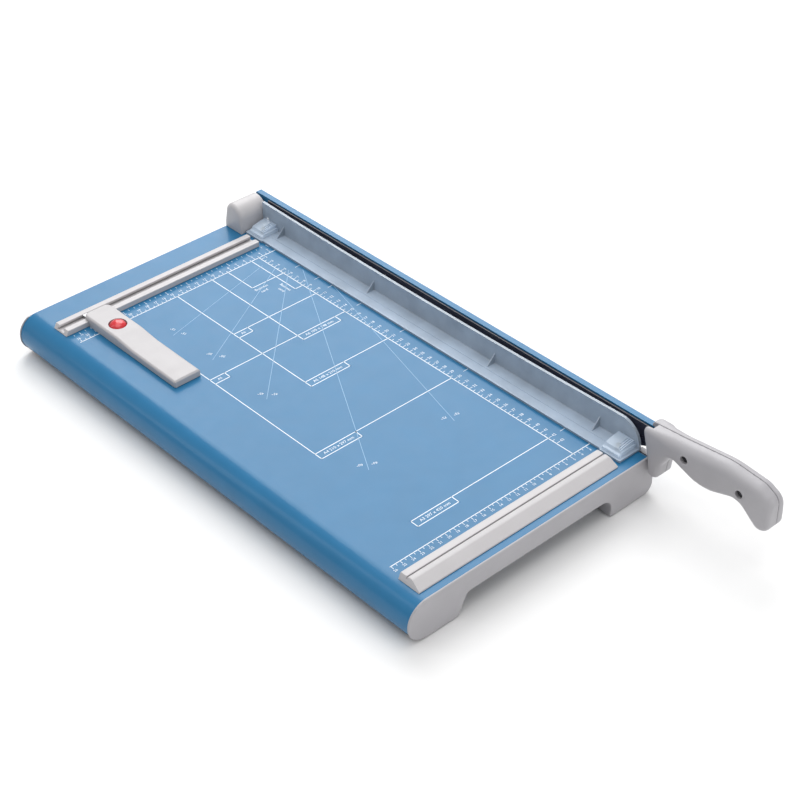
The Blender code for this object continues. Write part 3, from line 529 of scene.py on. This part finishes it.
def print_rulers(sheet, width, fine):
    """Centimetre rulers beside the guard and along both rails, and an inch ruler next to the rear rail."""
    sheet.line((RULE_X, RULE_Y), (RULE_X, RULE_FRONT), width)
    sheet.line((-262.0, RULE_Y), (-23.0, RULE_Y), width)
    sheet.line((-260.5, RULE_FRONT), (-23.0, RULE_FRONT), width)
    for step in range(1, 87):
        y = -5.0 * step
        whole = step % 2 == 0
        if y < RULE_Y - 1.0:
            sheet.line((RULE_X, y), (RULE_X + (4.2 if whole else 2.8), y), fine)
        if whole and y < RULE_Y - 1.0:
            sheet.words(str(step // 2), (RULE_X + 5.2, y), 4.4, align="LEFT")
    for step in range(6, 53):
        x = -5.0 * step
        whole = step % 2 == 0
        reach = 3.6 if whole else 2.4
        sheet.line((x, RULE_Y), (x, RULE_Y + reach), fine)
        sheet.line((x, RULE_FRONT), (x, RULE_FRONT - reach), fine)
        if whole:
            sheet.words(str(step // 2), (x, RULE_Y + 6.0), 3.9)
            sheet.words(str(step // 2), (x, -456.2), 3.9)
    for step in range(4, 42):
        x = -QUARTER_INCH * step
        sheet.line((x, -2.6), (x, -2.6 - (2.6 if step % 4 == 0 else 1.5)), fine)
        if step % 4 == 0:
            sheet.words(str(step // 4), (x, -6.9), 3.0)
    for y in (-55.0, -85.0, -105.0, -148.0, -210.0, -297.0, -420.0):
        sheet.line((-30.0, y), (-23.5, y), fine)


# Degrees and far end of each angle line.
ANGLE_LINES = [
    (15, (-191.0, -67.0)), (30, (-188.0, -124.0)), (45, (-190.0, -206.0)), (60, (-190.0, -345.0)),
    (75, (-88.0, -345.0)),
]


def print_angles(lines, labels, fine):
    """Lines at the common angles, each with its degrees on both sides of its far end."""
    origin = Vector((0.0, RULE_Y))
    for angle, end in ANGLE_LINES:
        end = Vector(end)
        way = (end - origin).normalized()
        side = Vector((-way.y, way.x))
        lines.line(origin + way * 54.0, end, fine)
        turn = math.atan2(side.y, side.x)
        for hand in (-1, 1):
            labels.words(f"{angle}°", end - way * 8.0 + side * 6.5 * hand, 4.2, turn + math.pi)


def make_printing():
    """Bold printing and fine angle lines, as two pieces of different ink."""
    width = sizes().line_width / MM
    fine = sizes().fine_width / MM
    main_print = Print()
    print_formats(main_print, width)
    print_rulers(main_print, width, fine)
    fine_print = Print()
    print_angles(fine_print, main_print, fine)
    main_print.done("format_print", ink("white_ink", colours().ink))
    fine_print.done("angle_print", ink("pale_ink", colours().fine_ink))


# ---------------------------------------------------------------- end caps

# X, Z and corner radius round a cap's outside and round its pocket.
CAP_CORNERS = [
    (6.5, 0.8, 1.2), (-285.4, 0.8, 20.2), (-285.4, -40.4, 20.2), (-230.0, -40.4, 4.0), (-220.0, -20.0, 6.0),
    (-45.0, -20.0, 12.5), (-48.0, -40.4, 1.0), (6.5, -40.4, 10.0),
]
POCKET_CORNERS = [
    (2.0, -3.7, 1.0), (-280.9, -3.7, 15.7), (-280.9, -35.9, 15.7), (-232.9, -35.9, 1.0),
    (-222.9, -15.5, 8.0), (-41.0, -15.5, 10.0), (-43.8, -35.9, 1.0), (2.0, -35.9, 5.5),
]


def make_end_caps():
    """Front cap, its mirror image at the rear, and the rubber feet."""
    grey = grey_plastic("cap_plastic")
    rubber = surface("foot_rubber", (0.018, 0.018, 0.020), 0.75, grain=1300.0, depth=0.05, mottle=0.15,
                     even=0.1)
    front = CAP_FACES[0]
    cap = solid("XZ", front, front + CAP_DEPTH, CAP_CORNERS, 14)
    soften(cap, 1.1, 4, lambda co: co.y < front + 0.01)
    cap = combine(cap, sheet_ribbon(1.2, SHEET + 0.3, front + 1.7, front + 30.0))
    cap = combine(cap, block((-0.5, front + 1.7, -0.3), (20.0, front + 30.0, 5.0)))
    cap = combine(cap, solid("XZ", front + 3.7, front + 30.0, POCKET_CORNERS, 10))
    for name in ("front_end_cap", "rear_end_cap"):
        shape = cap.copy()
        if name == "rear_end_cap":
            bmesh.ops.scale(shape, verts=shape.verts, vec=(1.0, -1.0, 1.0))
            bmesh.ops.translate(shape, verts=shape.verts, vec=(0.0, sum(CAP_FACES), 0.0))
            bmesh.ops.reverse_faces(shape, faces=shape.faces)
            shape = combine(shape, block((-300.0, 54.0, -1.6), (20.0, 60.0, 5.0)))
        piece(name + "_moulding", shape, [grey], "table", [name], 40.0)
    cap.free()
    for name in sorted(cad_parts):
        if name.startswith("rubber_foot"):
            dress(name, rubber)


def dress(name, material):
    """Give a frame node a finished material."""
    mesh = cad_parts[name].data
    mesh.materials.clear()
    mesh.materials.append(material)


# ---------------------------------------------------------------- rails

RAIL_END = -31.0        # right end of both rails
# Y and Z round each rail's section.
REAR_RAIL = [
    (0.0, 0.3), (20.4, 0.3), (20.4, 5.6), (13.9, 5.6), (13.9, 3.4), (15.6, 3.4), (15.6, 1.5), (5.2, 1.5),
    (5.2, 3.4), (6.9, 3.4), (6.9, 5.6), (0.0, 5.6),
]
FRONT_RAIL = [
    (-489.7, 0.3), (-465.2, 0.3), (-465.2, 6.3), (-472.4, 6.3), (-472.4, 3.8), (-473.5, 3.8), (-473.5, 6.1),
    (-475.2, 6.6, 2.0), (-479.0, 6.3, 6.0), (-489.2, 1.4, 1.0), (-489.7, 0.9),
]


def make_rails():
    """The two rails, each with a sloping left end, and the zinc-plated hardware."""
    light = light_plastic("rail_plastic")
    edge = sizes().rail_edge / MM
    for name, profile, left in (("rear_rail", REAR_RAIL, -267.0), ("front_rail", FRONT_RAIL, -265.5)):
        shape = solid("YZ", left, RAIL_END, profile)
        top = max(corner[1] for corner in profile)
        for vert in shape.verts:
            if vert.co.x < left + 0.01:
                vert.co.x += 3.0 * (vert.co.z - 0.3) / top
        soften(shape, 1.3, 4, lambda co: co.x > RAIL_END - 0.01 and co.z > 0.2, True)
        soften(shape, edge, 3, lambda co: co.z > top - 0.6)
        piece(name + "_moulding", shape, [light], "table", [name], 50.0)
    zinc = steel("zinc_screw", (0.55, 0.56, 0.58), 0.35, (1.0, 1.0, 1.0))
    for name in sorted(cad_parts):
        if name.startswith(("rail_screw", "bracket_screw", "lower_blade_screw", "blade_nut", "cross_brace",
                            "hinge_bracket", "pivot_nut", "pivot_spring_washer", "backstop_slider")):
            dress(name, zinc)


# ---------------------------------------------------------------- hinge

def make_hinge_cover():
    """Hollow cover with a round top about the pivot."""
    y, z = PIVOT
    radius = 14.6
    corners = [(y - radius, 0.3), (55.0, 0.3), (55.0, z + radius, 11.0), (y - radius, z + radius, 14.4)]
    shape = solid("YZ", -31.0, 3.0, corners, 16)
    soften(shape, 0.8, 3, lambda co: co.x > 2.99 and co.z > 0.31)
    soften(shape, sizes().cover_edge / MM, 8, lambda co: co.x < -30.99 and co.z > 0.31)
    inside = solid("YZ", -28.5, 0.5, [(y - radius + 2.5, -5.0), (52.5, -5.0), (52.5, z + radius - 2.5, 8.0),
                                      (y - radius + 2.5, z + radius - 2.5, 11.0)], 10)
    shape = combine(shape, inside)
    shape = combine(shape, rod(8.0, (0.0, y, z), -3.0, 8.0, "X"))
    piece("hinge_cover_moulding", shape, [light_plastic("cover_plastic")], "table",
          ["hinge_cover"], 40.0)


# ---------------------------------------------------------------- clear guard

GUARD_Y = (-487.5, 29.3)     # near and far ends of the guard
GUARD_TOP = 27.6
GUARD_WEBS = (-440.9, -309.4, -142.0, -4.5)


def make_guard():
    """Clear upright with a foot, webs and a bead; its thin edges get painted light, a darker and more opaque
    copy of the clear plastic.
    """
    near, far = GUARD_Y
    body = clear_plastic("guard_clear", 0.50)
    # The thin edges get painted light: a darker, more opaque copy of the clear plastic stands in for how light
    # shows along the edges of clear plastic.
    painted_edge_light = clear_plastic("guard_painted_edge_light", 0.85, 0.56)
    wall = [(far, 0.9), (far, GUARD_TOP)]
    for step in range(1, 12):
        share = step / 12
        wall.append((far + (near + 24.0 - far) * share, GUARD_TOP - 13.2 * share * (1.0 - share)))
    wall += [(near + 24.0, GUARD_TOP), (near, GUARD_TOP, 22.0), (near, 0.9)]
    upright = solid("YZ", -2.3, 0.5, wall, 14)
    left = -25.0
    foot = solid("XY", 0.9, 2.9, [
        (-0.4, near + 0.5), (-0.4, far - 0.4), (left - 1.5, far - 0.4, 1.5), (left - 1.5, far - 26.0),
        (left, far - 27.0), (left, near + 25.0), (left - 1.5, near + 24.0), (left - 1.5, near + 0.5, 1.5)])
    shape = combine(upright, foot, "UNION")
    for y in GUARD_WEBS:
        web = solid("XZ", y - 0.6, y + 0.6, [(-13.0, 2.4), (-1.5, 2.4), (-1.5, 14.0)])
        shape = combine(shape, web, "UNION")
    bead = block((-14.5, near + 27.0, 2.7), (-13.7, far - 29.0, 3.25))
    shape = combine(shape, bead, "UNION")
    shape = combine(shape, gather([rod(PIN_HOLE, (PIN_X, y, 0), 0, 5) for y in PIN_Y]))
    # Faces picked by their direction (upper faces, ends, the curved top, the foot's left side) take the
    # painted edge light.
    for face in shape.faces:
        middle = face.calc_center_median()
        upper = face.normal.z > 0.5 and middle.z > 12.0
        end = abs(face.normal.y) > 0.5
        curve = middle.z > 24.0 and abs(face.normal.x) < 0.5
        side = face.normal.x < -0.5 and middle.x < -24.0
        if upper or end or curve or side:
            face.material_index = 1
    piece("guard_moulding", shape, [body, painted_edge_light], "clamp", ["clamp_bar"], 30.0)


# X and Z round a block, and for each groove its place in Y from the pin and the height of its floor.
BLOCK_PROFILE = [
    (-24.0, 3.2), (-2.6, 3.2), (-2.6, 10.8), (-7.0, 10.8), (-20.0, 8.4), (-21.5, 6.0), (-24.0, 5.4),
]
BLOCK_GROOVES = ((-6.8, 7.0), (-4.6, 8.2), (-2.4, 9.2))


def make_guard_blocks():
    """Stepped blocks with grooves, and the pins, bushes and springs that guide the guard."""
    milky = clear_plastic("block_clear", 0.42, 1.15)
    for name, y in (("clamp_block_front", PIN_Y[0]), ("clamp_block_rear", PIN_Y[1])):
        shape = solid("XZ", y - 10.0, y + 10.0, BLOCK_PROFILE)
        soften(shape, 0.5, 3, lambda co: co.z > 5.0)
        for across, depth in BLOCK_GROOVES:
            groove = block((-19.5, y + across - 0.45, depth), (-4.0, y + across + 0.45, 20.0))
            shape = combine(shape, groove)
        shape = combine(shape, block((-30.0, y - 11.0, 7.2), (0.0, y - 8.2, 20.0)))
        shape = combine(shape, rod(PIN_HOLE, (PIN_X, y, 0.0), 0.0, 7.0))
        piece(name + "_moulding", shape, [milky], "clamp", [name], 18.0)
    black = surface("black_steel", (0.02, 0.02, 0.022), 0.4, 0.6, 1100.0, 0.02, 0.1, 0.08)
    bright = steel("spring_steel", (0.62, 0.63, 0.65), 0.25, (1.0, 1.0, 1.0))
    moulded = surface("bush_plastic", (0.02, 0.02, 0.022), 0.5, 0.0, 1300.0, 0.02, 0.1, 0.08)
    for name in sorted(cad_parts):
        if name.startswith("clamp_pin"):
            dress(name, black)
        elif name.startswith("clamp_bush"):
            dress(name, moulded)
        elif name.startswith("clamp_spring"):
            make_spring(name, bright, "table", 0.5, 6)
        elif name == "backstop_spring":
            make_spring(name, bright, "backstop", 0.3, 4)


def make_spring(node, material, body, wire, turns):
    """Coil in the place and size of a frame node's spring, riding on a body."""
    low, high = table_box(node)
    middle = (low + high) / 2.0
    radius = (high.x - low.x) / 2.0 - wire
    steps = SPRING_STEPS * turns
    shape = bmesh.new()
    start = Matrix.Translation((middle.x + radius, middle.y, low.z + wire))
    upright = Matrix.Rotation(math.pi / 2.0, 4, "X")
    bmesh.ops.create_circle(shape, segments=10, radius=wire, matrix=start @ upright)
    rise = (high.z - low.z - 2.0 * wire) / steps
    bmesh.ops.spin(shape, geom=shape.verts[:] + shape.edges[:], cent=middle, axis=(0.0, 0.0, 1.0),
                   dvec=(0.0, 0.0, rise), angle=math.tau * turns, steps=steps)
    bmesh.ops.remove_doubles(shape, verts=shape.verts, dist=WELD)
    bmesh.ops.holes_fill(shape, edges=[edge for edge in shape.edges if edge.is_boundary])
    made = piece(node + "_coil", shape, [material], body, [node])
    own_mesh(made)


# ---------------------------------------------------------------- backstop and button

STOP_Y = (-136.7, 9.5)       # front tip and rear end of the backstop
STOP_SIDE = [
    (STOP_Y[0], 0.5), (-0.5, 0.5), (-0.5, 5.9), (STOP_Y[1], 5.9), (STOP_Y[1], 9.8), (-2.0, 10.4, 20.0),
    (-46.0, 10.2, 30.0), (-70.0, 7.6, 30.0), (STOP_Y[0], 7.0, 1.5),
]


def make_backstop():
    """Hollow moulding with a waved top, cut to a plan with round rear corners."""
    left, right = STOP_X
    tip, rear = STOP_Y
    shape = solid("YZ", left, right, STOP_SIDE, 10)
    corners = [(left, tip, 1.6), (right, tip, 1.6), (right, rear, 6.5), (left, rear, 6.5)]
    shape = combine(shape, solid("XY", -5.0, 30.0, corners, 8), "INTERSECT")
    soften(shape, sizes().stop_edge / MM, 6, lambda co: co.z > 6.4)
    x, y = BUTTON
    radius = sizes().button_radius / MM
    wall = 2.0
    shape = combine(shape, block((left + wall, tip + wall, -2.0), (right - wall, -3.0, 5.0)))
    shape = combine(shape, rod(radius + 0.7, (x, y, 0.0), 4.0, 30.0, segments=64))
    light = light_plastic("backstop_plastic", 0.92)
    piece("backstop_moulding", shape, [light], "backstop", ["backstop_arm"], 35.0)
    dress("backstop_base", light)


# Reach and height down the button's dome, and on down its flange and stem.
BUTTON_DOME = [(0.0, 13.3), (2.0, 13.2), (4.0, 12.75), (5.6, 12.0), (6.9, 11.0), (7.8, 9.8)]
BUTTON_FOOT = [(9.4, 7.4), (9.4, 6.2), (2.5, 6.2), (2.5, 3.6), (0.0, 3.6)]


def make_button():
    """Domed cap on a flange and a stem, spun from its section."""
    x, y = BUTTON
    radius = sizes().button_radius / MM
    shape = bmesh.new()
    section = [*BUTTON_DOME, (radius, 8.6), (radius, 7.4), *BUTTON_FOOT]
    points = [shape.verts.new((x + across, y, height)) for across, height in section]
    for start, end in zip(points, points[1:]):
        shape.edges.new((start, end))
    bmesh.ops.spin(shape, geom=shape.verts[:] + shape.edges[:], cent=(x, y, 0.0), axis=(0.0, 0.0, 1.0),
                   angle=math.tau, steps=64, use_merge=True)
    bmesh.ops.remove_doubles(shape, verts=shape.verts, dist=WELD)
    red = surface("button_plastic", colours().button, 0.22, grain=900.0, depth=0.01, mottle=0.04, even=0.05,
                  coat=0.4)
    piece("button_cap", shape, [red], "button", ["backstop_button"], 35.0)


# ---------------------------------------------------------------- handle

SEAM_X = 6.0                # where the handle's halves meet
SEAM_GAP = 0.2              # half the gap at the seam
GRIP_FACES = {"left": -7.0, "right": 15.5}
GRID_CELL = 0.7             # grid on which the rounded handle is fused
HANDLE_SCREWS = [(-540.2, 24.7), (-599.8, 23.1)]
# Y, Z and corner radius round the handle, round the hump on its right side, and round the arm's tang.
HANDLE_CORNERS = [
    (-491.8, 33.5, 5.0), (-505.0, 34.6, 8.0), (-530.0, 36.5, 40.0), (-582.0, 42.0, 60.0),
    (-617.0, 38.5, 16.0), (-631.8, 30.5, 11.0), (-631.8, 0.5, 7.5), (-620.5, -3.5, 8.5),
    (-597.5, 16.0, 15.0), (-560.0, 4.0, 40.0), (-524.0, 17.5, 7.0), (-514.5, 2.0, 8.0),
    (-512.2, -14.5, 5.2), (-501.8, -14.5, 5.0), (-499.4, 3.0, 12.0),
]
HUMP = [(-491.4, 34.4, 6.5), (-516.0, 34.4, 9.0), (-516.0, 4.0, 6.0), (-498.4, 4.0, 5.0)]
TANG = [
    (49.0, 28.8), (-505.0, 28.8), (-545.0, 31.8), (-606.0, 31.3, 4.0), (-608.3, 17.7, 5.0), (-545.0, 20.2),
    (-514.0, 19.7, 5.0), (-505.0, 9.7, 5.0), (-484.0, 4.7), (49.0, 3.7),
]


def ease(value, start, end):
    """Smooth step from 0 at start to 1 at end."""
    share = min(max((value - start) / (end - start), 0.0), 1.0)
    return share * share * (3.0 - 2.0 * share)


def grip_share(y, z):
    """Share of the full rounding that the outline's edge gets at a place: most on the palm side."""
    return 0.46 + 0.54 * ease(z, 18.0, 34.0) * ease(-y, 498.0, 530.0)


def round_grip(shape, outer, width):
    """Round the outline's edge on the outer side, most along the palm and least round the chin."""
    share = shape.edges.layers.float.new("bevel_weight_edge")
    for edge in shape.edges:
        if all(abs(vert.co.x - outer) < 0.01 for vert in edge.verts):
            middle = (edge.verts[0].co + edge.verts[1].co) / 2
            edge[share] = grip_share(middle.y, middle.z)
    made = new_object("grip", shape)
    bevel = made.modifiers.new("round", "BEVEL")
    bevel.limit_method = "WEIGHT"
    bevel.width = width
    bevel.segments = 12
    bevel.use_clamp_overlap = False
    result = applied(made)
    bmesh.ops.remove_doubles(result, verts=result.verts, dist=WELD)
    return result


def melt(shape, cell, rounds):
    """Fuse overlapping solids on a fine grid and smooth the joints between them."""
    made = new_object("melt", shape)
    grid = made.modifiers.new("grid", "REMESH")
    grid.mode = "VOXEL"
    grid.voxel_size = cell
    calm = made.modifiers.new("calm", "SMOOTH")
    calm.factor = 0.5
    calm.iterations = rounds
    return applied(made)


def screw_rods(radius, low, high):
    """Bars through the places of the handle's two screws."""
    return [rod(radius, (0.0, y, z), low, high, "X") for y, z in HANDLE_SCREWS]


def make_handle():
    """Two rounded halves about the arm's tang: screw holes in the left one, a hump on the right one."""
    grey = grey_plastic("handle_plastic")
    halves = (("left", SEAM_X - SEAM_GAP, sizes().grip_left),
              ("right", SEAM_X + SEAM_GAP, sizes().grip_right))
    for side, inner, width in halves:
        outer = GRIP_FACES[side]
        shape = bmesh.new()
        outline(shape, "YZ", HANDLE_CORNERS, 12)
        long_edges = [edge for edge in shape.edges if edge.calc_length() > 3.0]
        bmesh.ops.subdivide_edges(shape, edges=long_edges, cuts=9)
        extrude(shape, "YZ", *sorted((inner, outer)))
        shape = round_grip(shape, outer, width / MM)
        if side == "left":
            tools = [
                gather([block((3.8, -506.5, -30.0), (20.0, -480.0, 27.6))] + screw_rods(2.4, -20.0, 10.0)),
                gather([block((-2.2, -501.5, -30.0), (20.0, -480.0, 60.0))] + screw_rods(3.9, -20.0, -2.4)),
            ]
        else:
            hump = solid("YZ", 8.0, 17.0, HUMP, 12)
            soften(hump, 4.8, 10, lambda co: co.x > 16.99)
            shape = gather([shape, hump])
            tools = [solid("YZ", 0.0, 8.5, TANG), block((0.0, -506.5, 20.0), (13.5, -480.0, 28.8))]
        shape = melt(shape, GRID_CELL, 6)
        for tool in tools:
            shape = combine(shape, tool)
        name = "handle_shell_" + side
        piece(name + "_moulding", shape, [grey], "arm", [name], 50.0)


# ---------------------------------------------------------------- arm and blades

def make_steel():
    """Finishes of the arm, the blades, the pivot and the dark screws."""
    dress("cutting_arm", paint("arm_paint"))
    dark = surface("blade_dark", colours().blade, 0.3, 0.4, 1200.0, 0.01, 0.12, 0.08, (1.0, 0.04, 1.0))
    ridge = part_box("upper_blade")[1].z
    add_edge_tone(dark, (0.034, 0.033, 0.040), "Z", ridge - 0.0006, ridge - 0.0001)
    dress("upper_blade", dark)
    dress("lower_blade", steel("lower_blade_steel"))
    bolt = steel("bolt_steel", (0.58, 0.59, 0.61), 0.3, (1.0, 1.0, 1.0))
    dress("pivot_bolt", bolt)
    dress("pivot_bush", steel("bush_bronze", (0.45, 0.30, 0.12), 0.4, (1.0, 1.0, 1.0)))
    black = surface("screw_black", (0.025, 0.025, 0.03), 0.35, 0.7, 1200.0, 0.01, 0.1, 0.08)
    for name in sorted(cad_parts):
        if name.startswith(("blade_screw", "handle_screw")):
            dress(name, black)


# ---------------------------------------------------------------- stage

CAMERA_PLACE = (-1014.1, -1296.2, 1019.4)
CAMERA_TURN = (-42.155, 36.895, -0.539)     # degrees round, up and about the line of sight
CAMERA_LENS = 84.42
WORLD_STRENGTH = 0.42
# Name, place and aim in metres, size in metres, and power in watts.
LIGHTS = (
    ("key", (1.5, 1.6, 1.9), (0.0, -0.05, 0.0), (2.2, 2.2), 62.0),
    ("overhead", (-0.2, -0.1, 2.4), (0.0, -0.05, 0.0), (2.4, 2.4), 34.0),
    ("fill", (0.7, -2.6, 1.0), (0.0, 0.0, 0.0), (1.6, 1.0), 14.0),
    ("streak", (-2.3, 2.2, 2.1), (-0.15, 0.0, 0.04), (0.5, 2.6), 9.0),
)


def camera_matrix():
    """Place and turn of the camera in the world."""
    across, up, roll = (math.radians(value) for value in CAMERA_TURN)
    back = Vector((math.sin(across) * math.cos(up), -math.cos(across) * math.cos(up), math.sin(up)))
    right = Vector((0.0, 0.0, 1.0)).cross(back).normalized()
    top = back.cross(right)
    turned_right = right * math.cos(roll) + top * math.sin(roll)
    turned_top = top * math.cos(roll) - right * math.sin(roll)
    turn = Matrix((turned_right, turned_top, back)).transposed().to_4x4()
    return Matrix.Translation(TO_WORLD @ Vector(CAMERA_PLACE)) @ turn


def area_light(name, place, aim, size, power):
    """Soft rectangular light that faces a point."""
    lamp = bpy.data.lights.new(name, "AREA")
    lamp.shape = "RECTANGLE"
    lamp.size, lamp.size_y = size
    lamp.energy = power
    holder = bpy.data.objects.new(name, lamp)
    holder.location = place
    holder.rotation_euler = (Vector(aim) - Vector(place)).to_track_quat("-Z", "Y").to_euler()
    bpy.context.scene.collection.objects.link(holder)


def make_stage():
    """White floor, soft lights, pale world and camera."""
    scene = bpy.context.scene
    shape = bmesh.new()
    bmesh.ops.create_grid(shape, x_segments=1, y_segments=1, size=6.0)
    floor = new_object("floor", shape)
    floor.data.materials.append(surface("floor_white", (0.86, 0.86, 0.86), 0.7, grain=60.0, depth=0.01,
                                        mottle=0.005, even=0.03))
    for light in LIGHTS:
        area_light(*light)
    world = bpy.data.worlds.new("studio")
    world.use_nodes = True
    background = world.node_tree.nodes["Background"]
    background.inputs["Color"].default_value = (1.0, 1.0, 1.0, 1.0)
    background.inputs["Strength"].default_value = WORLD_STRENGTH
    scene.world = world
    scene.view_settings.view_transform = "Standard"
    camera = bpy.data.cameras.new("camera")
    camera.lens = CAMERA_LENS
    camera.sensor_width = 36.0
    holder = bpy.data.objects.new("camera", camera)
    holder.matrix_world = camera_matrix()
    scene.collection.objects.link(holder)
    scene.camera = holder


# ---------------------------------------------------------------- operators and panel

class BuildOperator:
    """What every build step shares."""
    bl_options = {"REGISTER", "UNDO"}
    make = None

    def execute(self, context):
        type(self).make()
        return {"FINISHED"}


class CUTTER_OT_table_top(BuildOperator, bpy.types.Operator):
    """Make the bent, powder-coated table sheet."""
    bl_idname = "cutter.table_top"
    bl_label = "Table sheet"
    make = staticmethod(make_table_top)


class CUTTER_OT_printing(BuildOperator, bpy.types.Operator):
    """Print the rulers, the paper formats and the angles on the table."""
    bl_idname = "cutter.printing"
    bl_label = "Table printing"
    make = staticmethod(make_printing)


class CUTTER_OT_end_caps(BuildOperator, bpy.types.Operator):
    """Make the two moulded end caps and finish their rubber feet."""
    bl_idname = "cutter.end_caps"
    bl_label = "End caps"
    make = staticmethod(make_end_caps)


class CUTTER_OT_rails(BuildOperator, bpy.types.Operator):
    """Make the rear and front rails and finish the zinc-plated hardware."""
    bl_idname = "cutter.rails"
    bl_label = "Rails"
    make = staticmethod(make_rails)


class CUTTER_OT_hinge_cover(BuildOperator, bpy.types.Operator):
    """Make the rounded cover over the arm's hinge."""
    bl_idname = "cutter.hinge_cover"
    bl_label = "Hinge cover"
    make = staticmethod(make_hinge_cover)


class CUTTER_OT_guard(BuildOperator, bpy.types.Operator):
    """Make the clear guard that also clamps the paper."""
    bl_idname = "cutter.guard"
    bl_label = "Clear guard"
    make = staticmethod(make_guard)


class CUTTER_OT_guard_blocks(BuildOperator, bpy.types.Operator):
    """Make the guard's two stepped end blocks and finish their guides."""
    bl_idname = "cutter.guard_blocks"
    bl_label = "Guard blocks"
    make = staticmethod(make_guard_blocks)


class CUTTER_OT_backstop(BuildOperator, bpy.types.Operator):
    """Make the sliding backstop."""
    bl_idname = "cutter.backstop"
    bl_label = "Backstop"
    make = staticmethod(make_backstop)


class CUTTER_OT_button(BuildOperator, bpy.types.Operator):
    """Make the backstop's red release button."""
    bl_idname = "cutter.button"
    bl_label = "Release button"
    make = staticmethod(make_button)


class CUTTER_OT_handle(BuildOperator, bpy.types.Operator):
    """Make the two halves of the handle."""
    bl_idname = "cutter.handle"
    bl_label = "Handle"
    make = staticmethod(make_handle)


class CUTTER_OT_steel(BuildOperator, bpy.types.Operator):
    """Finish the arm, the blades, the pivot and the dark screws."""
    bl_idname = "cutter.steel"
    bl_label = "Arm and blades"
    make = staticmethod(make_steel)


class CUTTER_OT_stage(BuildOperator, bpy.types.Operator):
    """Set the floor, the lights and the camera."""
    bl_idname = "cutter.stage"
    bl_label = "Stage"
    make = staticmethod(make_stage)


STEPS = (
    CUTTER_OT_table_top, CUTTER_OT_printing, CUTTER_OT_end_caps, CUTTER_OT_rails, CUTTER_OT_hinge_cover,
    CUTTER_OT_guard, CUTTER_OT_guard_blocks, CUTTER_OT_backstop, CUTTER_OT_button, CUTTER_OT_handle,
    CUTTER_OT_steel, CUTTER_OT_stage,
)


class CUTTER_PT_pieces(bpy.types.Panel):
    """Lists the cutter's pieces, sizes and colours."""
    bl_label = "Paper cutter"
    bl_idname = "CUTTER_PT_pieces"
    bl_space_type = "VIEW_3D"
    bl_region_type = "UI"
    bl_category = "Cutter"

    def draw(self, context):
        for group in (context.scene.cutter_sizes, context.scene.cutter_colours):
            box = self.layout.box()
            for name in group.__annotations__:
                box.prop(group, name)
        for step in STEPS:
            self.layout.operator(step.bl_idname)


CLASSES = (CutterSizes, CutterColours, *STEPS, CUTTER_PT_pieces)


def register():
    for item in CLASSES:
        bpy.utils.register_class(item)
    bpy.types.Scene.cutter_sizes = PointerProperty(type=CutterSizes)
    bpy.types.Scene.cutter_colours = PointerProperty(type=CutterColours)


def unregister():
    del bpy.types.Scene.cutter_colours
    del bpy.types.Scene.cutter_sizes
    for item in reversed(CLASSES):
        bpy.utils.unregister_class(item)


def main():
    register()
    bpy.ops.cutter.table_top()
    bpy.ops.cutter.printing()
    bpy.ops.cutter.end_caps()
    bpy.ops.cutter.rails()
    bpy.ops.cutter.hinge_cover()
    bpy.ops.cutter.guard()
    bpy.ops.cutter.guard_blocks()
    bpy.ops.cutter.backstop()
    bpy.ops.cutter.button()
    bpy.ops.cutter.handle()
    bpy.ops.cutter.steel()
    bpy.ops.cutter.stage()
    bpy.context.view_layer.update()


if __name__ == "__main__":
    main()
